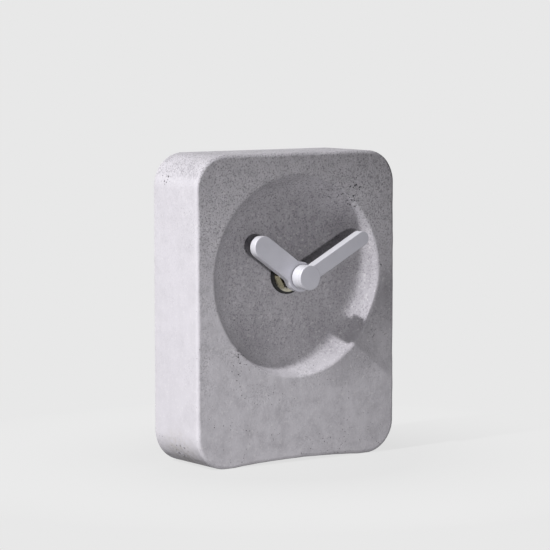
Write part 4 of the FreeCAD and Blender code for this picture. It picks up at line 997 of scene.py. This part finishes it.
# Light
# A small bright lamp far to the left skims the dial and lights the far side of the dish. A
# weaker one near the camera fills the front and draws the hands' thin shadow, two low cards add
# what a white table would throw back, and the room adds a little from all sides.

def lamp(name, kind, place, aim, watts, **settings):
    """A lamp that the camera doesn't see, turned from its place to look at its aim."""
    light = bpy.data.lights.new(name, kind)
    light.energy = watts
    for key, setting in settings.items():
        setattr(light, key, setting)
    piece = bpy.data.objects.new(name, light)
    piece.visible_camera = False
    piece.location = place
    piece.rotation_euler = (Vector(aim) - Vector(place)).to_track_quat("-Z", "Y").to_euler()
    bpy.context.scene.collection.objects.link(piece)


CLOCK_MIDDLE = (0, 0, 0.07)
lamp("key_from_the_left", "AREA", place=(-1.08, -0.145, 0.945), aim=CLOCK_MIDDLE, watts=24.5,
     size=0.04)
lamp("fill_from_the_front", "SPOT", place=(-0.33, -1.15, 0.07), aim=(-0.018, 0, 0.03), watts=22.8,
     spot_size=math.radians(14), spot_blend=1.0, shadow_soft_size=0.045)
lamp("low_card_in_front", "AREA", place=(-0.045, -0.17, 0.022), aim=(-0.03, 0, 0.028),
     watts=0.019, shape="RECTANGLE", size=0.08, size_y=0.03)
lamp("low_card_at_the_left", "AREA", place=(-0.42, -0.06, 0.012), aim=(-0.05, 0, 0.05),
     watts=0.3, shape="RECTANGLE", size=0.20, size_y=0.02)
lamp("fill_from_behind", "AREA", place=(0.55, 0.95, 0.30), aim=CLOCK_MIDDLE, watts=4, size=0.5)

world = bpy.data.worlds.new("studio")
bpy.context.scene.world = world
world.use_nodes = True
room = world.node_tree
room_light = add(room, "Background", {"Color": linear("#FFFFFF"), "Strength": 0.02}).outputs[0]
backdrop = add(room, "Background", {"Color": linear(BACKDROP), "Strength": 1.0}).outputs[0]
sky = add(room, "MixShader", {0: seen_directly(room), 1: room_light, 2: backdrop}).outputs[0]
feed(room, room.nodes["World Output"], {"Surface": sky})
bpy.context.scene.view_settings.view_transform = "Standard"


# Camera
# A long lens to the left of the clock and a little above it, as the photograph was taken. Its
# place and turn were fitted to the block's corners and the dial's rim.

AIM = Vector((-0.0023, 0.0016, 0.0778))
DISTANCE = 1.0885
YAW = math.radians(35.079)
PITCH = math.radians(5.3635)
ROLL = math.radians(-0.078)
LENS = 168.66
SENSOR_WIDTH = 36

lens = bpy.data.cameras.new("camera")
lens.lens = LENS
lens.sensor_width = SENSOR_WIDTH
camera = bpy.data.objects.new("camera", lens)
turned = (Matrix.Rotation(-YAW, 4, "Z") @ Matrix.Rotation(math.pi / 2 - PITCH, 4, "X")
          @ Matrix.Rotation(ROLL, 4, "Z"))
look = turned.to_3x3() @ Vector((0, 0, -1))
camera.matrix_world = Matrix.Translation(AIM - look * DISTANCE) @ turned
bpy.context.scene.collection.objects.link(camera)
bpy.context.scene.camera = camera
